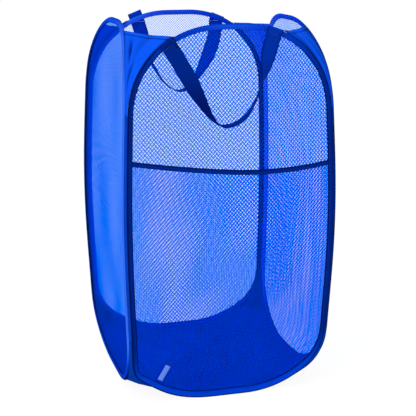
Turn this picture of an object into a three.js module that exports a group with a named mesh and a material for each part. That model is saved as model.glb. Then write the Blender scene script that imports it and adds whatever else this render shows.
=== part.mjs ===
// Pop-up laundry hamper: four sprung wire loops in sewn casings carry mesh walls and fold flat.
// Lengths are in millimetres. +Z is up, the pocket side faces -Y and the hamper stands on z = 0.
// The walls hinge on the four inner corner lines, so the square shears into a flat packet.
import * as THREE from 'three';

// Overall size
const HEIGHT = 600;
const INNER_WIDTH = 326;

// Outline of each wire loop: a rounded rectangle with elliptical corners
const CROWN_RUN = 40;
const SHOULDER_RISE = 133;
const FOOT_RUN = 50;
const FOOT_RISE = 105;
const SHOULDER_STEPS = 9;
const FOOT_STEPS = 8;

// The side walls' arches and feet lean inwards, the front and back walls are flat
const CROWN_LEAN = 20;
const FOOT_LEAN = 6.5;
const LEAN_POWER = 2.2;

// Spring wire and the ferrule that joins its ends
const WIRE_RADIUS = 1;
const WIRE_SIDES = 6;
const WIRE_END_GAP = 0.8;
const FERRULE_BORE_RADIUS = 1.2;
const FERRULE_RADIUS = 1.8;
const FERRULE_LENGTH = 14;
const FERRULE_SIDES = 8;

// Sewn casing: a round channel for the wire and two hem legs that grip the mesh
const CASING_RADIUS = 2.8;
const CASING_WALL = 0.7;
const NOSE_STEPS = 7;
const CHANNEL_STEPS = 5;
const HEM_HALF_THICKNESS = 1.65;
const HEM_SLOT_HALF = 0.95;
const HEM_REACH = 5.4;

// Sheets
const NET_THICKNESS = 0.5;
const NYLON_THICKNESS = 0.6;
const WALL_NET_SETBACK = 0.4;
const NET_TUCK = 2.9;

// Diamond openings of the wall nets, in offset rows; a coarse grid stands for the fine mesh
const NET_OPENINGS_ACROSS = 7;
const NET_OPEN_SHARE = 0.83;
const NET_DIAMOND_ASPECT = 1.23;

// Clearances
const SEWN_GAP = 0.3;
const FOLD_GAP = 0.2;

// Corner gussets and floor
const TOP_GUSSET_SPAN = 82;
const TOP_GUSSET_SAG = 4;
const GUSSET_COLUMNS = 6;
const FOOT_GUSSET_STEPS = 4;
const CORNER_LIFT = 3;

// Pocket on the front wall
const POCKET_MOUTH_HEIGHT = 384;
const POCKET_MOUTH_SAG = 10;
const POCKET_BULGE = 13;
const POCKET_ROWS = 6;
const BAND_HEIGHT = 8;
const BAND_WALL = 0.5;
const BAND_STANDOFF = 0.3;
const BAND_END_SETBACK = 8;

// Webbing handles
const WEBBING_WIDTH = 25;
const WEBBING_THICKNESS = 1.6;
const TAB_HEM = 2;
const STRAP_STEPS = 22;
const TWIST_START_SHARE = 0.14;
const TWIST_END_SHARE = 0.98;
const LEG_PULL_SHARE = 0.52;
const BOW_PULL_SHARE = 0.3;
const FRONT_TAB_OVERHANG = 1;
const BACK_TAB_OVERHANG = 8;

// Sewn-in tag, left blank
const TAG_WIDTH = 10;
const TAG_LENGTH = 24;
const TAG_THICKNESS = 0.5;
const TAG_TILT = THREE.MathUtils.degToRad(30);
const TAG_ACROSS_SHARE = -0.337;
const TAG_HEIGHT = 57;

// Repeated walls, corners and handles; a turn is a quarter turn about Z from the front
const WALLS = [
  { name: 'front', turn: 0, leans: false },
  { name: 'right', turn: 1, leans: true },
  { name: 'back', turn: 2, leans: false },
  { name: 'left', turn: 3, leans: true },
];
const CORNERS = [
  { name: 'front_right', turn: 0, fullnessShare: 0.15 },
  { name: 'back_right', turn: 1, fullnessShare: 0.5 },
  { name: 'back_left', turn: 2, fullnessShare: 0.5 },
  { name: 'front_left', turn: 3, fullnessShare: 1 },
];
// A handle's centre and half spread are shares of the width, its drop of the height, its bow of the spread
const HANDLES = [
  {
    name: 'front',
    turn: 0,
    shares: { centre: -0.052, spread: 0.26, drop: 0.22, bow: 0.094 },
    overhang: FRONT_TAB_OVERHANG,
  },
  {
    name: 'back',
    turn: 2,
    shares: { centre: -0.003, spread: 0.23, drop: 0.2133, bow: 0 },
    overhang: BACK_TAB_OVERHANG,
  },
];

// Sizes that follow from the values above
const noseCorner = CASING_RADIUS / Math.cos(hemArc(HEM_HALF_THICKNESS, CASING_RADIUS) / NOSE_STEPS);
const channelRadius = CASING_RADIUS - CASING_WALL;
const channelCorner = channelRadius / Math.cos(hemArc(HEM_SLOT_HALF, channelRadius) / CHANNEL_STEPS);
const innerHalf = INNER_WIDTH / 2;
const wallPlane = innerHalf + FOLD_GAP + noseCorner;
const loopHalf = innerHalf - FOLD_GAP - noseCorner;
const loopBottom = CASING_RADIUS;
const loopTop = HEIGHT - CASING_RADIUS;
const sewnOffset = noseCorner + NYLON_THICKNESS / 2 + SEWN_GAP;

// Materials, by what each piece is made of
const finish = (color, roughness, metalness = 0) =>
  new THREE.MeshStandardMaterial({ color, roughness, metalness });
const CASING = finish(0x0a3296, 0.7);
const NET = finish(0x3e77f8, 0.8);
const NYLON = finish(0x0c40c4, 0.6);
const WEBBING = finish(0x041f6a, 0.85);
const STEEL = finish(0xb4b6bc, 0.35, 1);
const TAG_CLOTH = finish(0x6d97fb, 0.8);

// Half the angle that an arc of this radius sweeps between two flanks at plus and minus halfGap
function hemArc(halfGap, radius) {
  return Math.PI - Math.asin(halfGap / radius);
}

// Points and outward normals of a wire loop in its wall plane, anticlockwise from the foot's centre
function loopStations() {
  const stations = [{ point: new THREE.Vector2(0, loopBottom), normal: new THREE.Vector2(0, -1) }];
  const corner = (steps, run, rise, centreZ, from, to) => {
    const reach = loopHalf - run / 2;
    for (let step = 0; step <= steps; step += 1) {
      const angle = THREE.MathUtils.lerp(from, to, step / steps);
      const [c, s] = [Math.cos(angle), Math.sin(angle)];
      const centreX = Math.sign(Math.cos((from + to) / 2)) * (run / 2);
      stations.push({
        point: new THREE.Vector2(centreX + reach * c, centreZ + rise * s),
        normal: new THREE.Vector2(c / reach, s / rise).normalize(),
      });
    }
  };
  const footRise = FOOT_RISE - CASING_RADIUS;
  const shoulderRise = SHOULDER_RISE - CASING_RADIUS;
  const footCentre = loopBottom + footRise;
  const shoulderCentre = loopTop - shoulderRise;
  corner(FOOT_STEPS, FOOT_RUN, footRise, footCentre, -Math.PI / 2, 0);
  corner(SHOULDER_STEPS, CROWN_RUN, shoulderRise, shoulderCentre, 0, Math.PI / 2);
  corner(SHOULDER_STEPS, CROWN_RUN, shoulderRise, shoulderCentre, Math.PI / 2, Math.PI);
  corner(FOOT_STEPS, FOOT_RUN, footRise, footCentre, Math.PI, 1.5 * Math.PI);
  return stations;
}

const loop = loopStations();
const footArc = loop.slice(1, FOOT_STEPS + 2);
const shoulderArc = loop.slice(FOOT_STEPS + 2, FOOT_STEPS + SHOULDER_STEPS + 3);

// A point of a wall, from its place across, its height and its distance out of the wall's mid-plane
const onWall = (across, height, out) => new THREE.Vector3(across, -out, height);

// A loop's points moved along their normals: positive is away from the loop's middle
const offsetLoop = (stations, distance) =>
  stations.map(({ point, normal }) => point.clone().addScaledVector(normal, distance));

// Height of the loop's centre line over the ground at a distance from the wall's middle
function footHeight(across) {
  const reach = loopHalf - FOOT_RUN / 2;
  const share = Math.min(1, Math.max(0, Math.abs(across) - FOOT_RUN / 2) / reach);
  return loopBottom + (FOOT_RISE - CASING_RADIUS) * (1 - Math.sqrt(1 - share * share));
}

// How far a leaning wall stands inwards of its plane at a height; nothing between foot and shoulder
function leanAt(height) {
  const crownShare = Math.max(0, (height - HEIGHT + SHOULDER_RISE) / SHOULDER_RISE);
  const footShare = Math.max(0, (FOOT_RISE - height) / FOOT_RISE);
  return CROWN_LEAN * crownShare ** LEAN_POWER + FOOT_LEAN * footShare ** LEAN_POWER;
}

// A wall's geometry with each point moved inwards by its height's lean
function leanIn(geometry) {
  const places = geometry.getAttribute('position');
  for (let index = 0; index < places.count; index += 1) {
    places.setY(index, places.getY(index) + leanAt(places.getZ(index)));
  }
  return geometry;
}

// Height and outward normal of the arch at a distance from the wall's middle
function archAt(across) {
  const reach = loopHalf - CROWN_RUN / 2;
  const rise = SHOULDER_RISE - CASING_RADIUS;
  const share = Math.max(0, Math.abs(across) - CROWN_RUN / 2) / reach;
  const up = Math.sqrt(1 - share * share);
  const normal = new THREE.Vector2((Math.sign(across) * share) / reach, up / rise).normalize();
  return { point: new THREE.Vector2(across, loopTop - rise * (1 - up)), normal };
}

// A closed body from a list of rings; an open path gets end faces that pair the ring's two sides
function loft(rings, closedPath = false) {
  const size = rings[0].length;
  const indices = [];
  const quad = (a, b, c, d) => indices.push(a, b, c, a, c, d);
  const spans = closedPath ? rings.length : rings.length - 1;
  for (let span = 0; span < spans; span += 1) {
    const near = span * size;
    const far = ((span + 1) % rings.length) * size;
    for (let side = 0; side < size; side += 1) {
      const next = (side + 1) % size;
      quad(near + side, near + next, far + next, far + side);
    }
  }
  if (!closedPath) {
    const last = (rings.length - 1) * size;
    for (let side = 0; side < size / 2 - 1; side += 1) {
      const across = size - 1 - side;
      quad(across, across - 1, side + 1, side);
      quad(last + side, last + side + 1, last + across - 1, last + across);
    }
  }
  const geometry = new THREE.BufferGeometry();
  const positions = rings.flat().flatMap((point) => point.toArray());
  geometry.setAttribute('position', new THREE.Float32BufferAttribute(positions, 3));
  geometry.setIndex(signedVolume(positions, indices) < 0 ? indices.reverse() : indices);
  geometry.computeVertexNormals();
  return geometry;
}

// Six times the volume that the triangles enclose, negative when they face inwards
function signedVolume(positions, indices) {
  const corner = (index) => new THREE.Vector3().fromArray(positions, index * 3);
  let total = 0;
  for (let start = 0; start < indices.length; start += 3) {
    const [a, b, c] = [0, 1, 2].map((step) => corner(indices[start + step]));
    total += a.dot(b.cross(c));
  }
  return total;
}

// A thin sheet: rows of mid-surface points given a thickness along the surface's own normal
function sheet(rows, thickness) {
  const at = (row, column) => {
    const line = rows[THREE.MathUtils.clamp(row, 0, rows.length - 1)];
    return line[THREE.MathUtils.clamp(column, 0, line.length - 1)];
  };
  const normal = (row, column) => {
    const along = at(row, column + 1).clone().sub(at(row, column - 1));
    const up = at(row + 1, column).clone().sub(at(row - 1, column));
    return along.cross(up).normalize();
  };
  const rings = rows.map((line, row) => {
    const face = (side) =>
      line.map((point, column) => point.clone().addScaledVector(normal(row, column), side));
    return [...face(thickness / 2), ...face(-thickness / 2).reverse()];
  });
  return loft(rings);
}

// Points of an arc about the wire, in the casing's own section: x away from the loop, y out
function sectionArc(radius, halfSweep, steps) {
  return Array.from({ length: steps + 1 }, (_, step) => {
    const angle = THREE.MathUtils.lerp(halfSweep, -halfSweep, step / steps);
    return new THREE.Vector2(radius * Math.cos(angle), radius * Math.sin(angle));
  });
}

// Rings that carry a section round the loop
function sweep(stations, section) {
  return stations.map(({ point, normal }) =>
    section.map(({ x, y }) => {
      const place = point.clone().addScaledVector(normal, x);
      return onWall(place.x, place.y, y);
    }),
  );
}

function wire() {
  const section = Array.from({ length: WIRE_SIDES }, (_, side) => {
    const angle = (2 * Math.PI * (side + 0.5)) / WIRE_SIDES;
    return new THREE.Vector2(WIRE_RADIUS * Math.cos(angle), WIRE_RADIUS * Math.sin(angle));
  });
  const end = (across) => ({ point: new THREE.Vector2(across, loopBottom), normal: loop[0].normal });
  const stations = [end(WIRE_END_GAP / 2), ...loop.slice(1), end(-WIRE_END_GAP / 2)];
  return loft(sweep(stations, section));
}

function ferrule() {
  const half = FERRULE_LENGTH / 2;
  const profile = [
    new THREE.Vector2(FERRULE_BORE_RADIUS, -half),
    new THREE.Vector2(FERRULE_RADIUS, -half),
    new THREE.Vector2(FERRULE_RADIUS, half),
    new THREE.Vector2(FERRULE_BORE_RADIUS, half),
    new THREE.Vector2(FERRULE_BORE_RADIUS, -half),
  ];
  const geometry = new THREE.LatheGeometry(profile, FERRULE_SIDES);
  geometry.rotateZ(Math.PI / 2);
  return geometry.translate(0, 0, loopBottom);
}

function casing() {
  const nose = sectionArc(noseCorner, hemArc(HEM_HALF_THICKNESS, noseCorner), NOSE_STEPS);
  const channel = sectionArc(channelCorner, hemArc(HEM_SLOT_HALF, channelCorner), CHANNEL_STEPS);
  const section = [
    new THREE.Vector2(-HEM_REACH, HEM_HALF_THICKNESS),
    ...nose,
    new THREE.Vector2(-HEM_REACH, -HEM_HALF_THICKNESS),
    new THREE.Vector2(-HEM_REACH, -HEM_SLOT_HALF),
    ...channel.reverse(),
    new THREE.Vector2(-HEM_REACH, HEM_SLOT_HALF),
  ];
  return loft(sweep(loop, section), true);
}

// True where a point lies inside a loop's centre line by at least the inset
function insideLoop({ x, y }, inset) {
  const high = y > HEIGHT / 2;
  const [run, rise] = high ? [CROWN_RUN, SHOULDER_RISE] : [FOOT_RUN, FOOT_RISE];
  const beyond = high ? y - (HEIGHT - rise) : rise - y;
  const across = Math.max(0, Math.abs(x) - run / 2) / (loopHalf - run / 2 - inset);
  const up = Math.max(0, beyond) / (rise - CASING_RADIUS - inset);
  return Math.abs(x) < loopHalf - inset && across ** 2 + up ** 2 < 1;
}

// Corners of the net's diamonds that fit inside the hem; odd rows stand half a pitch to the side
function netOpenings() {
  const pitch = (2 * (loopHalf - NET_TUCK)) / NET_OPENINGS_ACROSS;
  const rowHeight = (pitch * NET_DIAMOND_ASPECT) / 2;
  const reach = new THREE.Vector2(pitch / 2, rowHeight).multiplyScalar(NET_OPEN_SHARE);
  const rows = Math.floor(HEIGHT / rowHeight);
  const diamond = (x, y) => [
    new THREE.Vector2(x + reach.x, y),
    new THREE.Vector2(x, y + reach.y),
    new THREE.Vector2(x - reach.x, y),
    new THREE.Vector2(x, y - reach.y),
  ];
  const openings = Array.from({ length: rows }, (_, row) => {
    const places = NET_OPENINGS_ACROSS - (row % 2);
    const height = HEIGHT / 2 + (row - (rows - 1) / 2) * rowHeight;
    return Array.from({ length: places }, (_, index) =>
      diamond((index - (places - 1) / 2) * pitch, height),
    );
  });
  return openings.flat().filter((corners) => corners.every((corner) => insideLoop(corner, HEM_REACH)));
}

// A wall's net reaches under the hem all round; the pocket's net shares the front wall's hem with it
function wallNet(setback) {
  const net = new THREE.Shape(offsetLoop(loop.slice(1), -NET_TUCK));
  net.holes = netOpenings().map((corners) => new THREE.Path(corners));
  const geometry = new THREE.ExtrudeGeometry(net, { depth: NET_THICKNESS, bevelEnabled: false });
  geometry.rotateX(Math.PI / 2);
  return geometry.translate(0, setback + NET_THICKNESS / 2, 0);
}

// Rows between two adjoining arcs: the same stations on a wall and, mirrored, on the next one.
// Every other corner starts on a side wall and the rest end on one.
function cornerRows(stations, turn, fullnessShare, sag) {
  return stations.map(({ point, normal }, row) => {
    const edge = point.clone().addScaledVector(normal, sewnOffset);
    const leans = turn % 2 === 0 ? [0, leanAt(edge.y)] : [leanAt(edge.y), 0];
    const start = new THREE.Vector3(edge.x, leans[0] - wallPlane, edge.y);
    const end = new THREE.Vector3(wallPlane - leans[1], -edge.x, edge.y);
    const rowShare = row / (stations.length - 1);
    const corner = new THREE.Vector3(wallPlane, -wallPlane, edge.y + CORNER_LIFT * rowShare);
    const middle = start.clone().lerp(end, 0.5);
    const push = corner.sub(middle).multiplyScalar(fullnessShare);
    const sink = sag * rowShare;
    return Array.from({ length: GUSSET_COLUMNS + 1 }, (_, column) => {
      const share = column / GUSSET_COLUMNS;
      const tent = 1 - Math.abs(2 * share - 1);
      const place = start.clone().lerp(end, share).addScaledVector(push, tent);
      place.z -= sink * Math.sin(Math.PI * share);
      return place;
    });
  });
}

function topGusset(turn) {
  const reached = shoulderArc.filter(({ point }) => point.x > loopHalf - TOP_GUSSET_SPAN);
  const last = archAt(loopHalf - TOP_GUSSET_SPAN);
  return sheet(cornerRows([...reached, last], turn, 0, TOP_GUSSET_SAG), NYLON_THICKNESS);
}

function footGusset(turn, fullnessShare) {
  const stations = footArc.slice(-1 - FOOT_GUSSET_STEPS).reverse();
  return sheet(cornerRows(stations, turn, fullnessShare, 0), NYLON_THICKNESS);
}

function cornerSeam(turn) {
  const normal = new THREE.Vector2(1, 0);
  const bottom = footArc[FOOT_STEPS].point.y + SEWN_GAP;
  const top = shoulderArc[0].point.y - SEWN_GAP;
  const ends = [bottom, top].map((z) => ({ point: new THREE.Vector2(loopHalf, z), normal }));
  return sheet(cornerRows(ends, turn, 0, 0), NYLON_THICKNESS);
}

// The floor is sewn to the four foot arcs, so its edges and corners climb with them
function floorSheet() {
  const edge = innerHalf - SEWN_GAP;
  const cornerHeight = footHeight(footArc[FOOT_STEPS - FOOT_GUSSET_STEPS].point.x);
  const lines = footArc.slice(0, FOOT_STEPS - FOOT_GUSSET_STEPS + 1).map(({ point }) => point.x);
  const half = [...lines, edge];
  const grid = [...half.map((place) => -place).reverse(), ...half];
  const liftShare = (place) =>
    Math.min(1, (footHeight(place) - loopBottom) / (cornerHeight - loopBottom));
  const fullness = (x, y) => {
    const turn = x > 0 ? Number(y > 0) : 3 - Number(y > 0);
    return CORNERS[turn].fullnessShare;
  };
  const cut = (edge - lines.at(-1)) / 2;
  const rows = grid.map((y) =>
    grid.map((x) => {
      const lift = (cornerHeight - loopBottom) * liftShare(x) * liftShare(y);
      const place = new THREE.Vector3(x, y, loopBottom + lift);
      if (Math.abs(x) === edge) {
        place.x -= Math.sign(x) * leanAt(place.z);
      }
      if (Math.abs(x) === edge && Math.abs(y) === edge) {
        const back = cut * (1 - fullness(x, y));
        place.x -= Math.sign(x) * back;
        place.y -= Math.sign(y) * back;
      }
      return place;
    }),
  );
  return sheet(rows, NYLON_THICKNESS);
}

// Places across the pocket that match the facets of the foot arc
const pocketColumns = (() => {
  const half = offsetLoop(footArc, -NET_TUCK).map(({ x }) => x);
  return [...half.map((x) => -x).reverse(), ...half];
})();
const pocketHalf = pocketColumns.at(-1);

// Distance of the pocket's net out of the wall's mid-plane
function pocketOut(across, heightShare) {
  const freeHalf = pocketHalf - (HEM_REACH - NET_TUCK) - SEWN_GAP;
  const widthShare = Math.max(0, 1 - (across / freeHalf) ** 2);
  return WALL_NET_SETBACK + POCKET_BULGE * widthShare * Math.sin((Math.PI / 2) * heightShare);
}

const mouthHeight = (across) =>
  POCKET_MOUTH_HEIGHT - POCKET_MOUTH_SAG * Math.cos((Math.PI / 2) * (across / pocketHalf));

function pocketNet() {
  const foot = offsetLoop(footArc, -NET_TUCK).map(({ y }) => y);
  const bottoms = [...foot.slice().reverse(), ...foot];
  const rows = Array.from({ length: POCKET_ROWS + 1 }, (_, row) =>
    pocketColumns.map((across, column) => {
      const share = row / POCKET_ROWS;
      const height = THREE.MathUtils.lerp(bottoms[column], mouthHeight(across), share);
      return onWall(across, height, pocketOut(across, share));
    }),
  );
  return sheet(rows, NET_THICKNESS);
}

function pocketBand() {
  const end = pocketHalf - BAND_END_SETBACK;
  const places = [-end, ...pocketColumns.filter((across) => Math.abs(across) < end), end];
  const inner = NET_THICKNESS / 2 + BAND_STANDOFF;
  const outer = inner + BAND_WALL;
  const rings = places.map((across) => {
    const out = pocketOut(across, 1);
    const top = mouthHeight(across) + BAND_STANDOFF;
    const low = top - BAND_HEIGHT;
    const outside = [
      [-outer, low],
      [-outer, top + BAND_WALL],
      [outer, top + BAND_WALL],
      [outer, low],
    ];
    const inside = [
      [inner, low],
      [inner, top],
      [-inner, top],
      [-inner, low],
    ];
    return [...outside, ...inside].map(([offset, height]) => onWall(across, height, out + offset));
  });
  return loft(rings);
}

function tag() {
  const geometry = new THREE.BoxGeometry(TAG_WIDTH, TAG_THICKNESS, TAG_LENGTH);
  geometry.rotateY(TAG_TILT);
  const reach = TAG_LENGTH / 2;
  const across = INNER_WIDTH * TAG_ACROSS_SHARE;
  const highest = (TAG_HEIGHT + reach - footHeight(across)) / POCKET_MOUTH_HEIGHT;
  const rest = pocketOut(across + reach, highest) + NET_THICKNESS / 2 + SEWN_GAP;
  const place = onWall(across, TAG_HEIGHT, rest + TAG_THICKNESS / 2);
  return geometry.translate(place.x, place.y, place.z);
}

// Distance of the webbing's middle out of the wall where it lies flat against the casing
const webbingOut = noseCorner + SEWN_GAP + WEBBING_THICKNESS / 2;

// A handle's two roots, where the loose strap leaves the casing, and the fold line through them
function handleRoots({ shares }) {
  const roots = [-1, 1].map((side) => {
    const { point, normal } = archAt(INNER_WIDTH * (shares.centre + side * shares.spread));
    const root = point.clone().addScaledVector(normal, -HEM_REACH - TAB_HEM);
    return { arch: point, root, normal, across: new THREE.Vector2(normal.y, -normal.x) };
  });
  const fold = roots[1].root.clone().sub(roots[0].root).normalize();
  return roots.map((root) => ({ ...root, fold }));
}

// A four-cornered section of webbing: half its width along one vector, half its depth along another
function webbingRing(place, width, face) {
  const corner = (w, t) =>
    place
      .clone()
      .addScaledVector(width, (w * WEBBING_WIDTH) / 2)
      .addScaledVector(face, (t * WEBBING_THICKNESS) / 2);
  return [corner(-1, 1), corner(1, 1), corner(1, -1), corner(-1, -1)];
}

// The webbing's width vector where it is cut along the fold line and not square to its edges
const foldWidth = ({ across, fold }) => onWall(fold.x, fold.y, 0).divideScalar(fold.dot(across));

// A sewn end of the handle: flat webbing across the casing, cut along the fold line below it
function handleTab(end, overhang) {
  const top = end.arch.clone().addScaledVector(end.normal, CASING_RADIUS + overhang);
  const cut = end.root.clone().addScaledVector(end.normal, SEWN_GAP / 2);
  const out = onWall(0, 0, 1);
  return loft([
    webbingRing(onWall(top.x, top.y, webbingOut), onWall(end.across.x, end.across.y, 0), out),
    webbingRing(onWall(cut.x, cut.y, webbingOut), foldWidth(end), out),
  ]);
}

// The loose strap hangs as a bow and turns a quarter turn from each root to its lowest point
function strap(handle) {
  const { shares } = handle;
  const ends = handleRoots(handle);
  const halfSpread = INNER_WIDTH * shares.spread;
  const drop = HEIGHT * shares.drop;
  const rootHeight = (ends[0].root.y + ends[1].root.y) / 2;
  const across = INNER_WIDTH * shares.centre + halfSpread * shares.bow;
  const lowest = new THREE.Vector2(across, rootHeight - drop);
  const leg = ({ root, normal }, outward) => {
    const start = root.clone().addScaledVector(normal, -SEWN_GAP / 2);
    const pull = root.clone().addScaledVector(normal, -drop * LEG_PULL_SHARE);
    const bow = new THREE.Vector2(lowest.x + outward * halfSpread * BOW_PULL_SHARE, lowest.y);
    return new THREE.CubicBezierCurve(start, pull, bow, lowest);
  };
  const ring = (end, curve, outward, share) => {
    const middle = curve.getPointAt(share);
    const tangent = curve.getTangentAt(share);
    const convex = onWall(tangent.y * outward, -tangent.x * outward, 0).negate();
    const out = onWall(0, 0, 1);
    const spin = THREE.MathUtils.smoothstep(share, TWIST_START_SHARE, TWIST_END_SHARE);
    const [c, s] = [Math.cos((spin * Math.PI) / 2), Math.sin((spin * Math.PI) / 2)];
    const face = out.clone().multiplyScalar(c).addScaledVector(convex, s);
    const square = convex.multiplyScalar(c).addScaledVector(out, -s);
    const width = share === 0 ? foldWidth(end).multiplyScalar(outward) : square;
    const place = onWall(middle.x, middle.y, webbingOut + (s * WEBBING_WIDTH) / 2);
    return webbingRing(place, width, face);
  };
  const [left, right] = [-1, 1].map((outward, index) => {
    const curve = leg(ends[index], outward);
    return Array.from({ length: STRAP_STEPS + 1 }, (_, step) =>
      ring(ends[index], curve, outward, step / STRAP_STEPS),
    );
  });
  return loft([...left, ...right.slice(0, -1).reverse()]);
}

const hamper = new THREE.Group();
hamper.name = 'pop_up_hamper';

// A group turned to its side of the hamper; wall pieces also stand out at the wall's plane
function side(turn, out = 0) {
  const turned = new THREE.Group();
  turned.rotation.z = (turn * Math.PI) / 2;
  const placed = new THREE.Group();
  placed.position.y = -out;
  turned.add(placed);
  hamper.add(turned);
  return placed;
}

function addPiece(group, name, geometry, material) {
  const mesh = new THREE.Mesh(geometry, material);
  mesh.name = name;
  group.add(mesh);
}

for (const { name, turn, leans } of WALLS) {
  const wall = side(turn, wallPlane);
  const shaped = (geometry) => (leans ? leanIn(geometry) : geometry);
  addPiece(wall, `${name}_wire`, shaped(wire()), STEEL);
  addPiece(wall, `${name}_ferrule`, shaped(ferrule()), STEEL);
  addPiece(wall, `${name}_casing`, shaped(casing()), CASING);
  addPiece(wall, `${name}_net`, shaped(wallNet(leans ? 0 : WALL_NET_SETBACK)), NET);
}

for (const { name, turn, fullnessShare } of CORNERS) {
  const corner = side(turn);
  addPiece(corner, `${name}_seam`, cornerSeam(turn), NYLON);
  addPiece(corner, `${name}_top_gusset`, topGusset(turn), NYLON);
  addPiece(corner, `${name}_foot_gusset`, footGusset(turn, fullnessShare), NYLON);
}

addPiece(hamper, 'floor', floorSheet(), NYLON);

const front = side(0, wallPlane);
addPiece(front, 'pocket_net', pocketNet(), NET);
addPiece(front, 'pocket_band', pocketBand(), CASING);
addPiece(front, 'tag', tag(), TAG_CLOTH);

for (const handle of HANDLES) {
  const wall = side(handle.turn, wallPlane);
  const [left, right] = handleRoots(handle).map((end) => handleTab(end, handle.overhang));
  addPiece(wall, `${handle.name}_handle_left_tab`, left, WEBBING);
  addPiece(wall, `${handle.name}_handle_right_tab`, right, WEBBING);
  addPiece(wall, `${handle.name}_handle`, strap(handle), WEBBING);
}

export default hamper;
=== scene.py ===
"""Pop-up laundry hamper: nets, sewn casings, gussets, floor, pocket, tag and webbing handles."""

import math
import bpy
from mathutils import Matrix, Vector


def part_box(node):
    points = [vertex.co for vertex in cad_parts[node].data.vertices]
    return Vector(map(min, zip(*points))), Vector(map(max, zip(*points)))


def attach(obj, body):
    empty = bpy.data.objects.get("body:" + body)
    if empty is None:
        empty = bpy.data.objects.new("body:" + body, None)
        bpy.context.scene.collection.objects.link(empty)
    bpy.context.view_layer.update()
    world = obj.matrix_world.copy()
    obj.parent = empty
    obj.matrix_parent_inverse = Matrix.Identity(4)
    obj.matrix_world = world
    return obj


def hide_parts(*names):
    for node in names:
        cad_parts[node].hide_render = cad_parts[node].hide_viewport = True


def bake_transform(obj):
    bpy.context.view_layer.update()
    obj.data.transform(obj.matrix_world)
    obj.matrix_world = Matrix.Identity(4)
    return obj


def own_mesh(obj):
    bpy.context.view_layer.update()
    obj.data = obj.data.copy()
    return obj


bl_info = {
    "name": "Pop-up Laundry Hamper",
    "version": (1, 0, 0),
    "blender": (4, 5, 0),
    "location": "3D View > Sidebar > Hamper",
    "description": "Dresses the sprung loops of a pop-up laundry hamper in net, nylon and webbing",
    "category": "Add Mesh",
}

import bpy
import numpy as np
from mathutils import Vector

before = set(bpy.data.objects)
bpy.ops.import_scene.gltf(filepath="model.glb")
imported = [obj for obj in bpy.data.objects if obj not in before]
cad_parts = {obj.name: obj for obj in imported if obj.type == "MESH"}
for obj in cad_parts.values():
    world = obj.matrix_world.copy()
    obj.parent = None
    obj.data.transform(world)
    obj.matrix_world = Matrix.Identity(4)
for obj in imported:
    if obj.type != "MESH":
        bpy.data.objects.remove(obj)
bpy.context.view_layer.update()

# The wire loops as packed: their half width and the plane that they stand in
WIRE_RADIUS = 0.001
LOOP_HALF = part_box("front_wire")[1][0] - WIRE_RADIUS
WALL_PLANE = -(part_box("front_wire")[0][1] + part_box("front_wire")[1][1]) / 2

# Lengths as packed: the casing's radius, which is also the wire's height over the ground, its hem's
# reach and the gap along sewn edges; how far the inner corner line lies from the wire, and how far
# the webbing's middle lies out of its wall; how far below the arch a strap's root is, and how far
# short of the root the strap and its tab each end
CASING_RADIUS = 0.0028
HEM_REACH = 0.0054
SEWN_GAP = 0.0003
CORNER_LINE = 0.00319
WEBBING_OUT = 0.00409
ROOT_DEPTH = 0.0074
ROOT_GAP = 0.00015

# Lengths of the cloth: how much fuller a casing stands than its channel, the hem's half thickness
# at its stitches, and how far a net is tucked behind its loop
NOSE_FULLNESS = 1.03
STITCH_OUT = 0.00115
NET_INSET = 0.0015

# Each wall's quarter turns about Z from the front, and whether its crown and foot lean inwards
WALLS = {"front": (0, False), "right": (1, True), "back": (2, False), "left": (3, True)}
WALL_ORDER = ("front", "right", "back", "left")

# Each corner's quarter turns, the bodies on its two sides, its foot's fullness, its crown's two spans,
# how much its crown sags, how far painted shade reaches in from its crown gusset's two sides, and the
# painted light and shade on its crown gusset and on its seam, from -1 painted light to 1 painted shade
CORNERS = {
    "front_right": dict(
        turn=0,
        sides=("front_wall", "right_wall"),
        fullness=0.15,
        spans=(0.082, 0.079),
        sag=0.6,
        rims=(0.18, 0.35),
        crown=0.0,
        seam=0.8,
    ),
    "back_right": dict(
        turn=1,
        sides=("right_wall", "back_wall"),
        fullness=0.5,
        spans=(0.060, 0.058),
        sag=0.0,
        rims=(0.05, 0.05),
        crown=-1.0,
        seam=-1.0,
    ),
    "back_left": dict(
        turn=2,
        sides=("back_wall", "left_wall"),
        fullness=0.5,
        spans=(0.070, 0.076),
        sag=1.5,
        rims=(0.35, 0.10),
        crown=0.0,
        seam=-0.8,
    ),
    "front_left": dict(
        turn=3,
        sides=("left_wall", "front_wall"),
        fullness=0.1,
        spans=(0.078, 0.070),
        sag=0.3,
        rims=(0.05, 0.09),
        crown=0.0,
        seam=0.4,
    ),
}

# Painted light and shade on each casing's left and right upright as seen from outside, from -1 painted light
# to 1 painted shade
UPRIGHTS = {"front": (0.8, 0.8), "right": (0.5, -1.0), "back": (0.8, -0.8), "left": (0.9, -0.9)}

# Each handle's quarter turns, its centre, spread, drop and bow as shares; for its left and right leg,
# seen from outside, how far the tab stands over the casing, how plumb the leg hangs, how round it
# ends, where along it its twist is done and by how many degrees it twists too far on the way, and
# its painted shade and its tab's painted shade
HANDLES = {
    "front": dict(
        turn=0,
        centre=-0.052,
        spread=0.26,
        drop=0.212,
        bow=0.0,
        overhang=(0.001, 0.001),
        plumb=(0.0, 0.05),
        rounds=(0.3, 0.6),
        twists=(0.98, 0.5),
        over_twists=(0, -16),
        painted_shades=(0.95, 0.4),
        tabs=(0.8, 0.3),
    ),
    "back": dict(
        turn=2,
        centre=-0.003,
        spread=0.23,
        drop=0.2133,
        bow=-0.11,
        overhang=(0.001, 0.008),
        plumb=(0.9, 0.25),
        rounds=(0.3, 0.45),
        twists=(0.9, 0.55),
        over_twists=(0, 0),
        painted_shades=(0.3, 0.45),
        tabs=(0.1, 0.1),
    ),
}

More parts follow.
